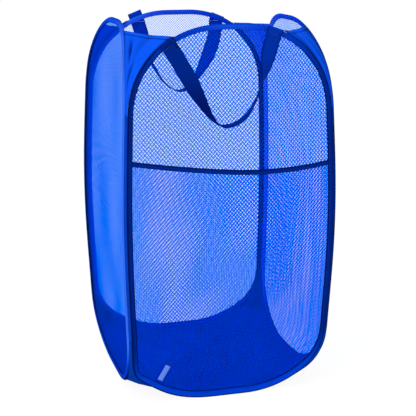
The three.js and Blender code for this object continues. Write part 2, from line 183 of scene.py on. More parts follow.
# Each net: its stretch across and up, how open it hangs next to the front net, and its holes' sides
NETS = {
    "front": dict(stretch=(1.0, 1.0), opened=1.0, sides=6),
    "right": dict(stretch=(1.0, 1.03), opened=1.4, sides=6),
    "back": dict(stretch=(0.85, 0.667), opened=1.5, sides=4),
    "left": dict(stretch=(0.85, 0.70), opened=1.32, sides=4),
    "pocket": dict(stretch=(1.0, 1.0), opened=1.55, sides=6),
}


def from_screen(red, green, blue):
    """A linear colour from the 0 to 255 values that a screen shows."""
    share = np.array([red, green, blue]) / 255
    return tuple(np.where(share > 0.04045, ((share + 0.055) / 1.055) ** 2.4, share / 12.92))


def length(name, description, default):
    return bpy.props.FloatProperty(
        name=name, description=description, default=default, unit="LENGTH", precision=4
    )


def share(name, description, default):
    return bpy.props.FloatProperty(
        name=name, description=description, default=default, min=0.0, max=1.0, subtype="FACTOR"
    )


def colour(name, description, default):
    return bpy.props.FloatVectorProperty(
        name=name, description=description, default=default, size=3, min=0.0, max=1.0, subtype="COLOR"
    )


class LoopSizes(bpy.types.PropertyGroup):
    height: length("Height", "Height of the hamper over the floor", 0.6)
    crown_run: length("Crown run", "Straight run at the top of each loop", 0.040)
    shoulder_rise: length("Shoulder rise", "Height of the rounded shoulders", 0.133)
    foot_run: length("Foot run", "Straight run at the foot of each loop", 0.050)
    foot_rise: length("Foot rise", "Height of the rounded feet", 0.105)
    crown_lean: length("Crown lean", "How far the side arches lean inwards", 0.020)
    foot_lean: length("Foot lean", "How far the side loops' feet lean inwards", 0.0100)
    bow: length("Bow", "How far the loops' sides spring outwards at mid-height", 0.0066)
    slack_lift: length("Slack lift", "Size of the rise in the front loop's left foot", 0.034)
    slack_corner: bpy.props.FloatProperty(
        name="Slack corner",
        description="Squareness of the front loop's left foot, where 2 is an ellipse",
        default=4.0,
        min=2.0,
        max=6.0,
    )


class CasingSizes(bpy.types.PropertyGroup):
    radius: length("Radius", "Radius of the channel round the wire", 0.0028)
    hem_reach: length("Hem reach", "Hem inwards of the wire at the sides and crown", 0.0056)
    foot_reach: length("Foot reach", "Hem inwards of the wire along the foot", 0.0090)
    stitch_line: length("Stitch line", "Stitching inwards of the wire", 0.0032)
    cloth: length("Cloth", "Thickness of the casing's cloth", 0.0004)
    stitch_pitch: length("Stitch pitch", "Distance from one stitch to the next", 0.0040)
    stitch_length: length("Stitch length", "Length of thread that shows", 0.0028)


class NetSizes(bpy.types.PropertyGroup):
    pitch: length("Pitch", "Width of one hole and its yarn", 0.0054)
    row: length("Row", "Height from one row of holes to the next", 0.0033)
    open_share: share("Open share", "Share of the front net that is holes", 0.42)
    thickness: length("Thickness", "Thickness of the yarn", 0.0004)
    setback: length("Setback", "Net behind the middle of the wall", 0.0004)
    slack: length("Slack", "Depth of the net's slow waves", 0.0010)


class PocketSizes(bpy.types.PropertyGroup):
    mouth: length("Mouth height", "Lowest height of the pocket's mouth", 0.3758)
    left_rise: length("Left rise", "Rise of the mouth to its left end", 0.0215)
    right_rise: length("Right rise", "Rise of the mouth to its right end", 0.0075)
    bulge: length("Bulge", "How far the pocket's net stands off the wall", 0.0125)
    drape: length("Drape", "Depth of the soft diagonal folds", 0.0012)
    tape: length("Tape", "Height of the tape along the mouth", 0.0070)


class ClothSizes(bpy.types.PropertyGroup):
    thickness: length("Thickness", "Thickness of the nylon", 0.0006)
    crown_sag: length("Crown sag", "Most sag of a crown gusset's free edge", 0.0050)
    wrinkle: length("Wrinkle", "Depth of the gussets' wrinkles", 0.0024)
    weave: length("Weave", "Distance between the nylon's threads", 0.0005)


class HandleSizes(bpy.types.PropertyGroup):
    width: length("Width", "Width of the webbing", 0.025)
    thickness: length("Thickness", "Thickness of the webbing", 0.0016)
    rib: length("Rib", "Distance between the webbing's ribs", 0.0016)
    tag_width: length("Tag width", "Width of the blank tag", 0.0085)
    tag_length: length("Tag length", "Length of the blank tag", 0.027)


class HamperColours(bpy.types.PropertyGroup):
    yarn: colour("Yarn", "Yarn of the nets", from_screen(0, 138, 255))
    casing: colour("Casing", "Tape of the casings", from_screen(0, 66, 215))
    # Painted light: a lighter copy of the casing colour, mixed in where a piece's edge value is negative, on
    # lit uprights, gussets and seams
    casing_painted_light: colour("Light casing", "Casings and seams in the light", from_screen(62, 122, 252))
    # Painted shade: the dark navy mixed in by a piece's edge value on casing edges and uprights, gusset rims
    # and creases, the floor's rim, tapes and webbing
    casing_painted_shade: colour("Casing edge", "Folded edges of the casings", from_screen(2, 22, 92))
    nylon: colour("Nylon", "Gussets and seams", from_screen(12, 86, 240))
    floor: colour("Floor", "Nylon floor", from_screen(0, 62, 172))
    thread: colour("Thread", "Stitching", from_screen(24, 84, 226))
    webbing: colour("Webbing", "Webbing of the handles", from_screen(2, 58, 190))
    sewn: colour("Sewn webbing", "Sewn ends of the handles", from_screen(2, 62, 205))
    tag: colour("Tag", "Blank woven tag", from_screen(109, 151, 251))
    steel: colour("Steel", "Spring wire and ferrules", from_screen(196, 198, 204))
    backdrop: colour("Backdrop", "Floor and background of the picture", (0.86, 0.86, 0.86))


def smooth(value, low, high):
    """An S-shaped step from 0 at low to 1 at high: 3t^2 - 2t^3."""
    t = np.clip((value - low) / (high - low), 0, 1)
    return t * t * (3 - 2 * t)


def normalised(vectors):
    return vectors / np.maximum(np.linalg.norm(vectors, axis=-1, keepdims=True), 1e-12)


def distances(path):
    """Distance along a path of points, from its start to each of them."""
    return np.concatenate([[0], np.cumsum(np.linalg.norm(np.diff(path, axis=0), axis=1))])


def unit_grid(rows, columns):
    """Shares from 0 to 1, down the rows and across the columns."""
    return np.meshgrid(np.linspace(0, 1, rows), np.linspace(0, 1, columns), indexing="ij")


def slack_rise(loop, across):
    """Height that the front loop's slack left foot gains, q^2.2 (1 - q^8) of the lift, with q the
    share of the way from its straight run to its side."""
    q = np.clip((np.abs(across) - loop.foot_run / 2) / (LOOP_HALF - loop.foot_run / 2), 0, 1)
    return loop.slack_lift * q**2.2 * (1 - q**8)


def corner_arc(loop, part, angle, slack=False):
    """A right-hand corner of a loop and its outward normals, by the angle up or down from the side.
    A superellipse: across = run/2 + a cos(t)^(2/n) and height = centre +- b sin(t)^(2/n). The slack
    foot is squarer and gains its rise."""
    squareness = loop.slack_corner if slack else 2.0
    run, rise, sign = (
        (loop.crown_run, loop.shoulder_rise, 1) if part == "crown" else (loop.foot_run, loop.foot_rise, -1)
    )
    reach, rise = LOOP_HALF - run / 2, rise - CASING_RADIUS
    centre = loop.height - CASING_RADIUS - rise if part == "crown" else CASING_RADIUS + rise
    c, s = np.clip(np.cos(angle), 0, 1), np.clip(np.sin(angle), 0, 1)
    point = np.stack(
        [run / 2 + reach * c ** (2 / squareness), centre + sign * rise * s ** (2 / squareness)], -1
    )
    if slack:
        point[:, 1] += slack_rise(loop, point[:, 0])
        tangent = np.gradient(point, axis=0)
        return point, normalised(np.stack([tangent[:, 1], -tangent[:, 0]], -1) * -1.0)
    return point, normalised(np.stack([c / reach, sign * s / rise], -1))


def loop_line(loop, wall, count, offset=0.0):
    """Evenly spaced stations of a loop, anticlockwise from the middle of its foot: points, outward
    normals and distance along. Four corner arcs joined by straight runs, then resampled by length."""
    turn = np.linspace(0, math.pi / 2, 240)
    mirror = np.array([-1.0, 1.0])
    foot_right = corner_arc(loop, "foot", turn[::-1])[0]
    crown_right = corner_arc(loop, "crown", turn)[0]
    crown_left = corner_arc(loop, "crown", turn[::-1])[0] * mirror
    foot_left = corner_arc(loop, "foot", turn, wall == "front")[0] * mirror
    start = np.array([[0.0, foot_right[0, 1]]])
    path = np.concatenate([start, foot_right, crown_right, crown_left, foot_left, start])
    far = distances(path)
    along = np.linspace(0, far[-1], count, endpoint=False)
    points = np.stack([np.interp(along, far, path[:, axis]) for axis in (0, 1)], -1)
    tangent = normalised(np.roll(points, -1, 0) - np.roll(points, 1, 0))
    normals = np.stack([tangent[:, 1], -tangent[:, 0]], -1)
    return points + offset * normals, normals, along, far[-1]


def lean_in(loop, height):
    """How far a leaning wall stands inwards at a height: a power curve in the crown and in the foot."""
    crown = np.clip((height - loop.height + loop.shoulder_rise) / loop.shoulder_rise, 0, None)
    foot = np.clip((loop.foot_rise - height) / loop.foot_rise, 0, None)
    return loop.crown_lean * crown**2.2 + loop.foot_lean * foot**2.2


def bowed(loop, points):
    """Points moved out from the hamper's axis, as the sprung loops bow between their feet and their
    shoulders: by the bow times the sine of the height's share of that stretch, to the power 1.2."""
    share_up = np.clip((points[..., 2] / loop.height - 0.15) / 0.68, 0, 1)
    grown = 1 + loop.bow / WALL_PLANE * np.sin(math.pi * share_up) ** 1.2
    return points * np.stack([grown, grown, np.ones_like(grown)], -1)


def turned(points, turn):
    """Points turned by quarter turns about Z."""
    c, s = (1, 0, -1, 0)[turn % 4], (0, 1, 0, -1)[turn % 4]
    x, y, z = points[..., 0], points[..., 1], points[..., 2]
    return np.stack([c * x - s * y, s * x + c * y, z], -1)


def on_wall(loop, wall, across, height, out):
    """Places on a wall from across, height and distance out of its plane, with the wall's lean."""
    turn, leans = WALLS[wall]
    across, height, out = np.broadcast_arrays(across, height, out)
    inward = lean_in(loop, height) if leans else 0.0
    return turned(np.stack([across, inward - WALL_PLANE - out, height], -1), turn)


def foot_height(loop, across, slack=False):
    """Height of a loop's foot at a distance from the wall's middle."""
    squareness = loop.slack_corner if slack else 2.0
    reach = LOOP_HALF - loop.foot_run / 2
    t = np.clip((np.abs(across) - loop.foot_run / 2) / reach, 0, 1)
    rise = loop.foot_rise - CASING_RADIUS
    gained = slack_rise(loop, across) if slack else 0.0
    return CASING_RADIUS + rise * (1 - (1 - t**squareness) ** (1 / squareness)) + gained


def arch_at(loop, across):
    """Height and normal of the arch at a distance from the wall's middle."""
    reach, rise = LOOP_HALF - loop.crown_run / 2, loop.shoulder_rise - CASING_RADIUS
    t = max(0.0, abs(across) - loop.crown_run / 2) / reach
    up = math.sqrt(1 - t * t)
    normal = normalised(np.array([math.copysign(t, across) / reach, up / rise]))
    return np.array([across, loop.height - CASING_RADIUS - rise * (1 - up)]), normal


def grid_quads(rows, columns, round_rows=False, round_columns=False):
    """Quads of a grid of points, closed on itself where asked."""
    r = np.arange(rows if round_rows else rows - 1)[:, None]
    c = np.arange(columns if round_columns else columns - 1)[None, :]
    r2, c2 = (r + 1) % rows, (c + 1) % columns
    quads = np.stack([r * columns + c, r * columns + c2, r2 * columns + c2, r2 * columns + c], -1)
    return quads.reshape(-1, 4)


def faced_out(points, faces):
    """A closed mesh's faces turned outwards, by the sign of the volume that they enclose."""
    a, b, c = (points[faces[:, k]] for k in (0, 1, 2))
    volume = (a * np.cross(b, c)).sum()
    if faces.shape[1] == 4:
        volume += (a * np.cross(c, points[faces[:, 3]])).sum()
    return faces if volume > 0 else faces[:, ::-1]


def make_piece(name, points, faces, material, corner_uv=None, values=None, flat=False):
    """A mesh object from whole arrays, with the loops' bow, its UV map in metres and its own point
    values."""
    points = bowed(bpy.context.scene.hamper_loop, points)
    mesh = bpy.data.meshes.new(name)
    mesh.vertices.add(len(points))
    mesh.vertices.foreach_set("co", np.asarray(points, np.float32).ravel())
    mesh.loops.add(faces.size)
    mesh.loops.foreach_set("vertex_index", np.ascontiguousarray(faces, np.int32).ravel())
    mesh.polygons.add(len(faces))
    mesh.polygons.foreach_set("loop_start", np.arange(0, faces.size, faces.shape[1], dtype=np.int32))
    mesh.update(calc_edges=True)
    mesh.polygons.foreach_set("use_smooth", np.full(len(faces), not flat))
    if corner_uv is not None:
        layer = mesh.uv_layers.new(name="cloth")
        layer.data.foreach_set("uv", np.asarray(corner_uv, np.float32).ravel())
    for label, amounts in (values or {}).items():
        mesh.attributes.new(label, "FLOAT", "POINT").data.foreach_set(
            "value", np.asarray(amounts, np.float32).ravel()
        )
    mesh.materials.append(material)
    piece = bpy.data.objects.new(name, mesh)
    bpy.context.scene.collection.objects.link(piece)
    return piece


def surface_normals(grid):
    """Unit normals of a grid of points, from the cross product of its two directions."""
    return normalised(np.cross(np.gradient(grid, axis=1), np.gradient(grid, axis=0)))


def make_sheet(name, grid, uv, thickness, material, values=None):
    """A closed sheet of cloth: a grid moved half the thickness to both sides along its normals."""
    rows, columns = grid.shape[:2]
    normal = surface_normals(grid) * thickness / 2
    points = np.concatenate([(grid + normal).reshape(-1, 3), (grid - normal).reshape(-1, 3)])
    index = np.arange(rows * columns).reshape(rows, columns)
    front = grid_quads(rows, columns)
    rim = np.concatenate([index[0, :], index[1:, -1], index[-1, -2::-1], index[-2:0:-1, 0]])
    after = np.roll(rim, -1)
    back = rows * columns
    sides = np.stack([after, rim, rim + back, after + back], -1)
    faces = faced_out(points, np.concatenate([front, front[:, ::-1] + back, sides]))
    flat_uv = np.concatenate([uv.reshape(-1, 2)] * 2)
    doubled = {label: np.concatenate([amount.ravel()] * 2) for label, amount in (values or {}).items()}
    return make_piece(name, points, faces, material, flat_uv[faces.ravel()], doubled)


def carry(name, grid, along, ring, material, edge, round_path=False):
    """A closed section carried along a path: rings of points joined by quads. An open path's ends are
    closed by quads that pair the section's two halves."""
    rows, columns = grid.shape[:2]
    points = grid.reshape(-1, 3)
    sides = grid_quads(rows, columns, round_path, True)
    uv = np.stack(np.meshgrid(along, ring, indexing="ij"), -1)
    r, c = np.divmod(np.arange(len(sides)), columns)
    corner_uv = np.stack([uv[r, c], uv[r, c + 1], uv[r + 1, c + 1], uv[r + 1, c]], 1)
    if not round_path:
        k = np.arange(columns // 2 - 1)
        cap = np.stack([k, k + 1, columns - 2 - k, columns - 1 - k], -1)
        sides = np.concatenate([sides, cap[:, ::-1], cap + (rows - 1) * columns])
        corner_uv = np.concatenate([corner_uv, uv[0][cap[:, ::-1]], uv[-2][cap]])
    faces = faced_out(points, sides)
    if faces is not sides:
        corner_uv = corner_uv[:, ::-1]
    # The edge value is painted shade where positive and painted light where negative
    values = {"edge": np.broadcast_to(edge, grid.shape[:2])}
    return make_piece(name, points, faces, material, corner_uv.reshape(-1, 2), values)


def ring_length(x, y):
    """Distance round a closed section, from its points."""
    step = np.hypot(np.diff(np.append(x, x[0])), np.diff(np.append(y, y[0])))
    return np.concatenate([[0], np.cumsum(step)])


def make_stitches(name, places, along, outward, sizes, material, lift=0.0001):
    """Thread that shows between needle holes: an eight-sided spindle at each place."""
    along, outward = normalised(along), normalised(outward)
    across = normalised(np.cross(along, outward))
    reach = (sizes.stitch_length / 2, 0.00035, 0.0003)
    centre = places + outward * lift
    arms = zip((along, across, outward), reach)
    tips = [centre + sign * arm * size for arm, size in arms for sign in (1, -1)]
    points = np.stack(tips, 1).reshape(-1, 3)
    upper = [[0, 2, 4], [2, 1, 4], [1, 3, 4], [3, 0, 4]]
    lower = [[2, 0, 5], [1, 2, 5], [3, 1, 5], [0, 3, 5]]
    one = np.array(upper + lower)
    faces = (np.arange(len(places))[:, None, None] * 6 + one).reshape(-1, 3)
    return make_piece(name, points, faced_out(points, faces), material)


def evenly(path, pitch):
    """Places and directions at even steps along a path of points."""
    far = distances(path)
    steps = np.arange(pitch / 2, far[-1], pitch)
    places, ahead, behind = (
        np.stack([np.interp(steps + shift, far, path[:, axis]) for axis in range(3)], -1)
        for shift in (0, pitch / 4, -pitch / 4)
    )
    return places, ahead - behind


def assign(piece, body, node=None):
    """A piece rides on its body and may stand for a node of the solids."""
    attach(piece, body)
    if node:
        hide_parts(node)


# Materials


class Nodes:
    """The nodes of one tree, added by type with their settings and inputs."""

    def __init__(self, tree):
        self.tree = tree

    def feed(self, node, inputs):
        """Links each input to a socket, or sets it to a value."""
        for name, value in inputs.items():
            if isinstance(value, bpy.types.NodeSocket):
                self.tree.links.new(value, node.inputs[name])
            else:
                node.inputs[name].default_value = value

    def add(self, kind, inputs=None, **settings):
        node = self.tree.nodes.new(kind)
        for name, value in settings.items():
            setattr(node, name, value)
        self.feed(node, inputs or {})
        return node

    def math(self, operation, first, second=0.0):
        return self.add("ShaderNodeMath", {0: first, 1: second}, operation=operation).outputs[0]

    def mix(self, factor, first, second, blend="MIX"):
        node = self.add("ShaderNodeMix", data_type="RGBA", blend_type=blend)
        for slot, value in zip((0, 6, 7), (factor, first, second)):
            plain = isinstance(value, (bpy.types.NodeSocket, float))
            self.feed(node, {slot: value if plain else (*value[:3], 1.0)})
        return node.outputs[2]

    def span(self, value, low, high, to_low=0.0, to_high=1.0):
        inputs = {"Value": value, "From Min": low, "From Max": high, "To Min": to_low, "To Max": to_high}
        return self.add("ShaderNodeMapRange", inputs, interpolation_type="SMOOTHSTEP").outputs[0]

    def noise(self, scale, detail):
        """Noise on Object coordinates."""
        place = self.add("ShaderNodeTexCoord").outputs["Object"]
        return self.add("ShaderNodeTexNoise", {"Vector": place, "Scale": scale, "Detail": detail}).outputs[0]

    def bump(self, height, distance, strength):
        inputs = {"Height": height, "Distance": distance, "Strength": strength}
        return self.add("ShaderNodeBump", inputs).outputs[0]

    def shaded(self, colour, level):
        """A colour multiplied by a grey level."""
        grey = self.add("ShaderNodeCombineColor", {0: level, 1: level, 2: level}).outputs[0]
        return self.mix(1.0, colour, grey, "MULTIPLY")


def node_group(name, inputs, outputs):
    """An empty shader group with named sockets, and the node helper for its tree."""
    group = bpy.data.node_groups.new(name, "ShaderNodeTree")
    for label, kind, default in inputs:
        socket = group.interface.new_socket(label, in_out="INPUT", socket_type=f"NodeSocket{kind}")
        if default is not None:
            socket.default_value = default
    for label, kind in outputs:
        group.interface.new_socket(label, in_out="OUTPUT", socket_type=f"NodeSocket{kind}")
    nodes = Nodes(group)
    return group, nodes, nodes.add("NodeGroupInput").outputs, nodes.add("NodeGroupOutput").inputs


def woven(nodes, along, across):
    """Plain weave: the product of two sine waves, one for each direction of thread."""
    both = nodes.math("MULTIPLY", nodes.math("SINE", along), nodes.math("SINE", across))
    return nodes.math("ABSOLUTE", both)


def ribbed_cords(nodes, along, across):
    """Webbing: rows of ribs across the strap, offset by half a rib from one cord to the next."""
    slant = nodes.math("ABSOLUTE", nodes.math("SINE", across))
    ribs = nodes.math("SINE", nodes.math("ADD", along, nodes.math("MULTIPLY", slant, 1.6)))
    return nodes.math("MULTIPLY", nodes.math("ABSOLUTE", ribs), nodes.span(slant, 0.0, 0.5, 0.35, 1.0))


def thread_group(name, pattern):
    """Threads from a pattern of heights on the UV map, with their gaps darkened by the contrast."""
    group, nodes, given, result = node_group(
        name,
        [
            ("Vector", "Vector", None),
            ("Pitch", "Float", 0.001),
            ("Colour", "Color", (0, 0, 1, 1)),
            ("Contrast", "Float", 0.1),
        ],
        [("Colour", "Color"), ("Height", "Float")],
    )
    split = nodes.add("ShaderNodeSeparateXYZ", {0: given["Vector"]})
    turn = nodes.math("DIVIDE", math.pi, given["Pitch"])
    height = pattern(nodes, *(nodes.math("MULTIPLY", split.outputs[axis], turn) for axis in (0, 1)))
    gap = nodes.math("SUBTRACT", 1.0, height)
    level = nodes.math("SUBTRACT", 1.0, nodes.math("MULTIPLY", given["Contrast"], gap))
    nodes.tree.links.new(nodes.shaded(given["Colour"], level), result["Colour"])
    nodes.tree.links.new(height, result["Height"])
    return group


def handled_group(name):
    """Slow shade changes where cloth is creased and handled: two sizes of noise on a colour."""
    group, nodes, given, result = node_group(
        name,
        [("Colour", "Color", (0, 0, 1, 1)), ("Scale", "Float", 14.0), ("Amount", "Float", 0.12)],
        [("Colour", "Color"), ("Roughness", "Float")],
    )
    broad = nodes.noise(given["Scale"], 3.0)
    fine = nodes.noise(nodes.math("MULTIPLY", given["Scale"], 9.0), 2.0)
    both = nodes.math("ADD", nodes.math("MULTIPLY", broad, 0.7), nodes.math("MULTIPLY", fine, 0.3))
    depth = nodes.math("MULTIPLY", given["Amount"], 4.0)
    change = nodes.math("MULTIPLY", nodes.math("SUBTRACT", both, 0.5), depth)
    shaded = nodes.shaded(given["Colour"], nodes.math("ADD", 1.0, change))
    nodes.tree.links.new(shaded, result["Colour"])
    nodes.tree.links.new(nodes.span(both, 0.3, 0.7, 0.42, 0.62), result["Roughness"])
    return group


def new_material(name):
    material = bpy.data.materials.new(name)
    material.use_nodes = True
    return material, Nodes(material.node_tree), material.node_tree.nodes["Principled BSDF"]


def made_once(build):
    """A builder of materials that gives back the one that already has the name."""

    def found_or_built(name, *values, **settings):
        return bpy.data.materials.get(name) or build(name, *values, **settings)

    return found_or_built


@made_once
def cloth_material(
    name, colour, edge=None, light=None, pitch=0.0005, ribbed=False, sheen=0.3, rough=0.0, amount=0.12
):
    """Woven cloth: thread pattern on the UV map, slow shading on Object coordinates and, where
    asked, a painted shade colour mixed in by the piece's own edge value, and a painted light colour
    where that value is negative."""
    material, nodes, shader = new_material(name)
    groups = bpy.data.node_groups
    base = (*colour, 1.0)
    # Painted light and shade: the edge value mixes in the painted shade colour where positive and the
    # painted light colour where negative
    if edge is not None:
        mask = nodes.add("ShaderNodeAttribute", attribute_name="edge").outputs["Fac"]
        base = nodes.mix(nodes.math("MAXIMUM", mask, 0.0), colour, edge)
        if light is not None:
            negative = nodes.math("MAXIMUM", nodes.math("MULTIPLY", mask, -1.0), 0.0)
            base = nodes.mix(negative, base, light)
    handled = nodes.add(
        "ShaderNodeGroup",
        {"Colour": base, "Amount": amount},
        node_tree=groups.get("Handled cloth") or handled_group("Handled cloth"),
    )
    threads = ("Webbing ribs", ribbed_cords) if ribbed else ("Plain weave", woven)
    pattern = nodes.add(
        "ShaderNodeGroup",
        {
            "Vector": nodes.add("ShaderNodeUVMap", uv_map="cloth").outputs[0],
            "Pitch": pitch,
            "Colour": handled.outputs["Colour"],
            "Contrast": 0.35 if ribbed else 0.14,
        },
        node_tree=groups.get(threads[0]) or thread_group(*threads),
    )
    nodes.feed(
        shader,
        {
            "Base Color": pattern.outputs["Colour"],
            "Roughness": nodes.math("ADD", handled.outputs["Roughness"], rough),
            "Normal": nodes.bump(pattern.outputs["Height"], pitch * 0.25, 0.5),
            "Sheen Weight": sheen,
            "Sheen Roughness": 0.35,
            "Sheen Tint": (*(0.01 + 0.99 * np.array(colour)), 1.0),
            "Specular IOR Level": 0.0,
        },
    )
    return material


def tape_material(colours):
    # The casing tape gets painted shade and painted light by each piece's edge value
    edge, light = tuple(colours.casing_painted_shade), tuple(colours.casing_painted_light)
    return cloth_material("casing tape", tuple(colours.casing), edge=edge, light=light, sheen=0.2)


def thread_material(colours):
    return cloth_material("casing thread", tuple(colours.thread), pitch=0.0004)


def floor_material(colours, cloth):
    # The floor nylon gets painted shade by its edge value
    edge = tuple(colours.casing_painted_shade)
    return cloth_material("floor nylon", tuple(colours.floor), edge=edge, pitch=cloth.weave, amount=0.16)


@made_once
def yarn_material(name, colour):
    """Knitted yarn: fine filament noise on Object coordinates, and so thin that most of the light
    behind it comes through in its own colour."""
    material, nodes, shader = new_material(name)
    broad, loops = nodes.noise(9.0, 2.0), nodes.noise(900.0, 1.0)
    shade = nodes.math("ADD", nodes.math("MULTIPLY", broad, 0.35), nodes.math("MULTIPLY", loops, 0.3))
    dark = tuple(np.array(colour) * 0.93)
    light = tuple(np.minimum(np.array(colour) * 1.07, 1.0))
    nodes.feed(
        shader,
        {
            "Base Color": nodes.mix(nodes.span(shade, 0.2, 0.45), dark, light),
            "Roughness": nodes.span(loops, 0.3, 0.7, 0.5, 0.75),
            "Normal": nodes.bump(loops, 0.0002, 0.6),
            "IOR": 1.0,
            "Transmission Weight": 0.9,
        },
    )
    return material


@made_once
def steel_material(name, colour):
    """Drawn spring steel: fine noise in its bumps and roughness, with small dull spots."""
    material, nodes, shader = new_material(name)
    spots = nodes.noise(220.0, 3.0)
    dull = tuple(np.array(colour) * 0.7)
    nodes.feed(
        shader,
        {
            "Base Color": nodes.mix(nodes.span(spots, 0.45, 0.7), colour, dull),
            "Roughness": nodes.span(spots, 0.35, 0.7, 0.25, 0.5),
            "Normal": nodes.bump(spots, 0.0001, 0.2),
            "Metallic": 1.0,
        },
    )
    return material


# Nets: six- or four-sided holes in offset rows


def net_cells(sizes, net, high, shift):
    """Corners of the net's holes in their wall, anticlockwise from the right, and the quads of yarn
    between them. Hole (row, column) is at x = (column + half on odd rows) pitch and z = row height,
    and its size is the root of the open share."""
    pitch, row = sizes.pitch * net["stretch"][0], sizes.row * net["stretch"][1]
    rows = int(high / row) + 3
    columns = int(2 * LOOP_HALF / pitch) + 4
    sides = net["sides"]
    r, c = np.mgrid[0:rows, 0:columns]
    centre = np.stack([(c + 0.5 * (r % 2) - columns / 2) * pitch + shift, (r - 1) * row], -1)
    flat = 0.42 if sides == 6 else 0.0
    size = math.sqrt(sizes.open_share * net["opened"] / (1 + flat))
    if sides == 6:
        shape = np.array([[1, -flat], [1, flat], [0, 1], [-1, flat], [-1, -flat], [0, -1]])
    else:
        shape = np.array([[1, 0], [0, 1], [-1, 0], [0, -1]])
    corners = (centre[:, :, None] + shape * size * np.array([pitch / 2, row])).reshape(-1, 2)
    r, c = np.mgrid[1 : rows - 1, 1 : columns - 1]
    odd = r % 2
    near = ((r, c), (r, c + 1), (r + 1, c + odd), (r + 1, c - 1 + odd), (r - 1, c + odd))
    own, beside, above, above_left, below = (
        (row_at * columns + column_at) * sides for row_at, column_at in near
    )
    if sides == 6:
        quads = [
            (own + 1, above + 5, above + 4, own + 2),
            (own + 2, above_left, above_left + 5, own + 3),
            (own, beside + 3, above + 5, own + 1),
            (own, below + 2, beside + 4, beside + 3),
        ]
    else:
        quads = [
            (own, above + 3, above + 2, own + 1),
            (own + 1, above_left, above_left + 3, own + 2),
            (own, below + 1, beside + 2, above + 3),
        ]
    return corners, np.concatenate([np.stack(quad, -1).reshape(-1, 4) for quad in quads])


def within(points, line, normals, inset):
    """Points outside a loop's inset outline are moved back onto it along its nearest normal.
    Also gives which points were inside, and every point's depth inside the outline."""
    nearest = np.concatenate(
        [
            ((part[:, None] - line[None]) ** 2).sum(-1).argmin(1)
            for part in np.array_split(points, max(1, len(points) // 4000))
        ]
    )
    depth = -((points - line[nearest]) * normals[nearest]).sum(-1) - inset
    moved = points + normals[nearest] * np.minimum(depth, 0)[:, None]
    return moved, depth > 1e-6, depth


def net_piece(name, loop, wall, sizes, corners, quads, inside, out, material):
    """A net with the yarn's thickness: the quads in front, again behind, and walls round each hole."""
    quads = quads[inside[quads].any(1)]
    edges = np.stack([quads, np.roll(quads, -1, 1)], -1).reshape(-1, 2)
    key = edges[:, 0] * len(corners) + edges[:, 1]
    border = edges[~np.isin(key, edges[:, 1] * len(corners) + edges[:, 0])]
    used, index = np.unique(quads, return_inverse=True)
    quads = index.reshape(quads.shape)
    border = np.searchsorted(used, border)
    flat, depth_out, count = corners[used], out[used], len(used)
    faces = np.concatenate(
        [
            quads,
            quads[:, ::-1] + count,
            np.stack([border[:, 1], border[:, 0], border[:, 0] + count, border[:, 1] + count], -1),
        ]
    )
    half = sizes.thickness / 2
    points = np.concatenate(
        [on_wall(loop, wall, flat[:, 0], flat[:, 1], depth_out + side) for side in (half, -half)]
    )
    uv = np.concatenate([flat, flat])
    return make_piece(name, points, faces, material, uv[faces.ravel()])


class HAMPER_OT_wall_nets(bpy.types.Operator):
    """Knit the four wall nets"""

    bl_idname = "hamper.wall_nets"
    bl_label = "Wall nets"

    def execute(self, context):
        scene = context.scene
        loop, sizes = scene.hamper_loop, scene.hamper_net
        material = yarn_material("net yarn", tuple(scene.hamper_colours.yarn))
        for order, wall in enumerate(WALL_ORDER):
            line, normals, _, _ = loop_line(loop, wall, 560)
            corners, quads = net_cells(sizes, NETS[wall], loop.height, 0.0009 * order)
            corners, inside, depth = within(corners, line, normals, NET_INSET)
            ease = smooth(depth, 0.008, 0.08)
            waves = np.sin(corners[:, 0] * 31 + order) * np.sin(corners[:, 1] * 17 + 2 * order)
            out = sizes.slack * ease * waves - sizes.setback
            upper = corners[quads, 1].mean(1) > loop.height / 2
            for part, chosen in (("lower", ~upper), ("upper", upper)):
                name = f"{wall}_netting_{part}"
                piece = net_piece(name, loop, wall, sizes, corners, quads[chosen], inside, out, material)
                assign(piece, f"{wall}_wall", f"{wall}_net")
        return {"FINISHED"}


# Casings


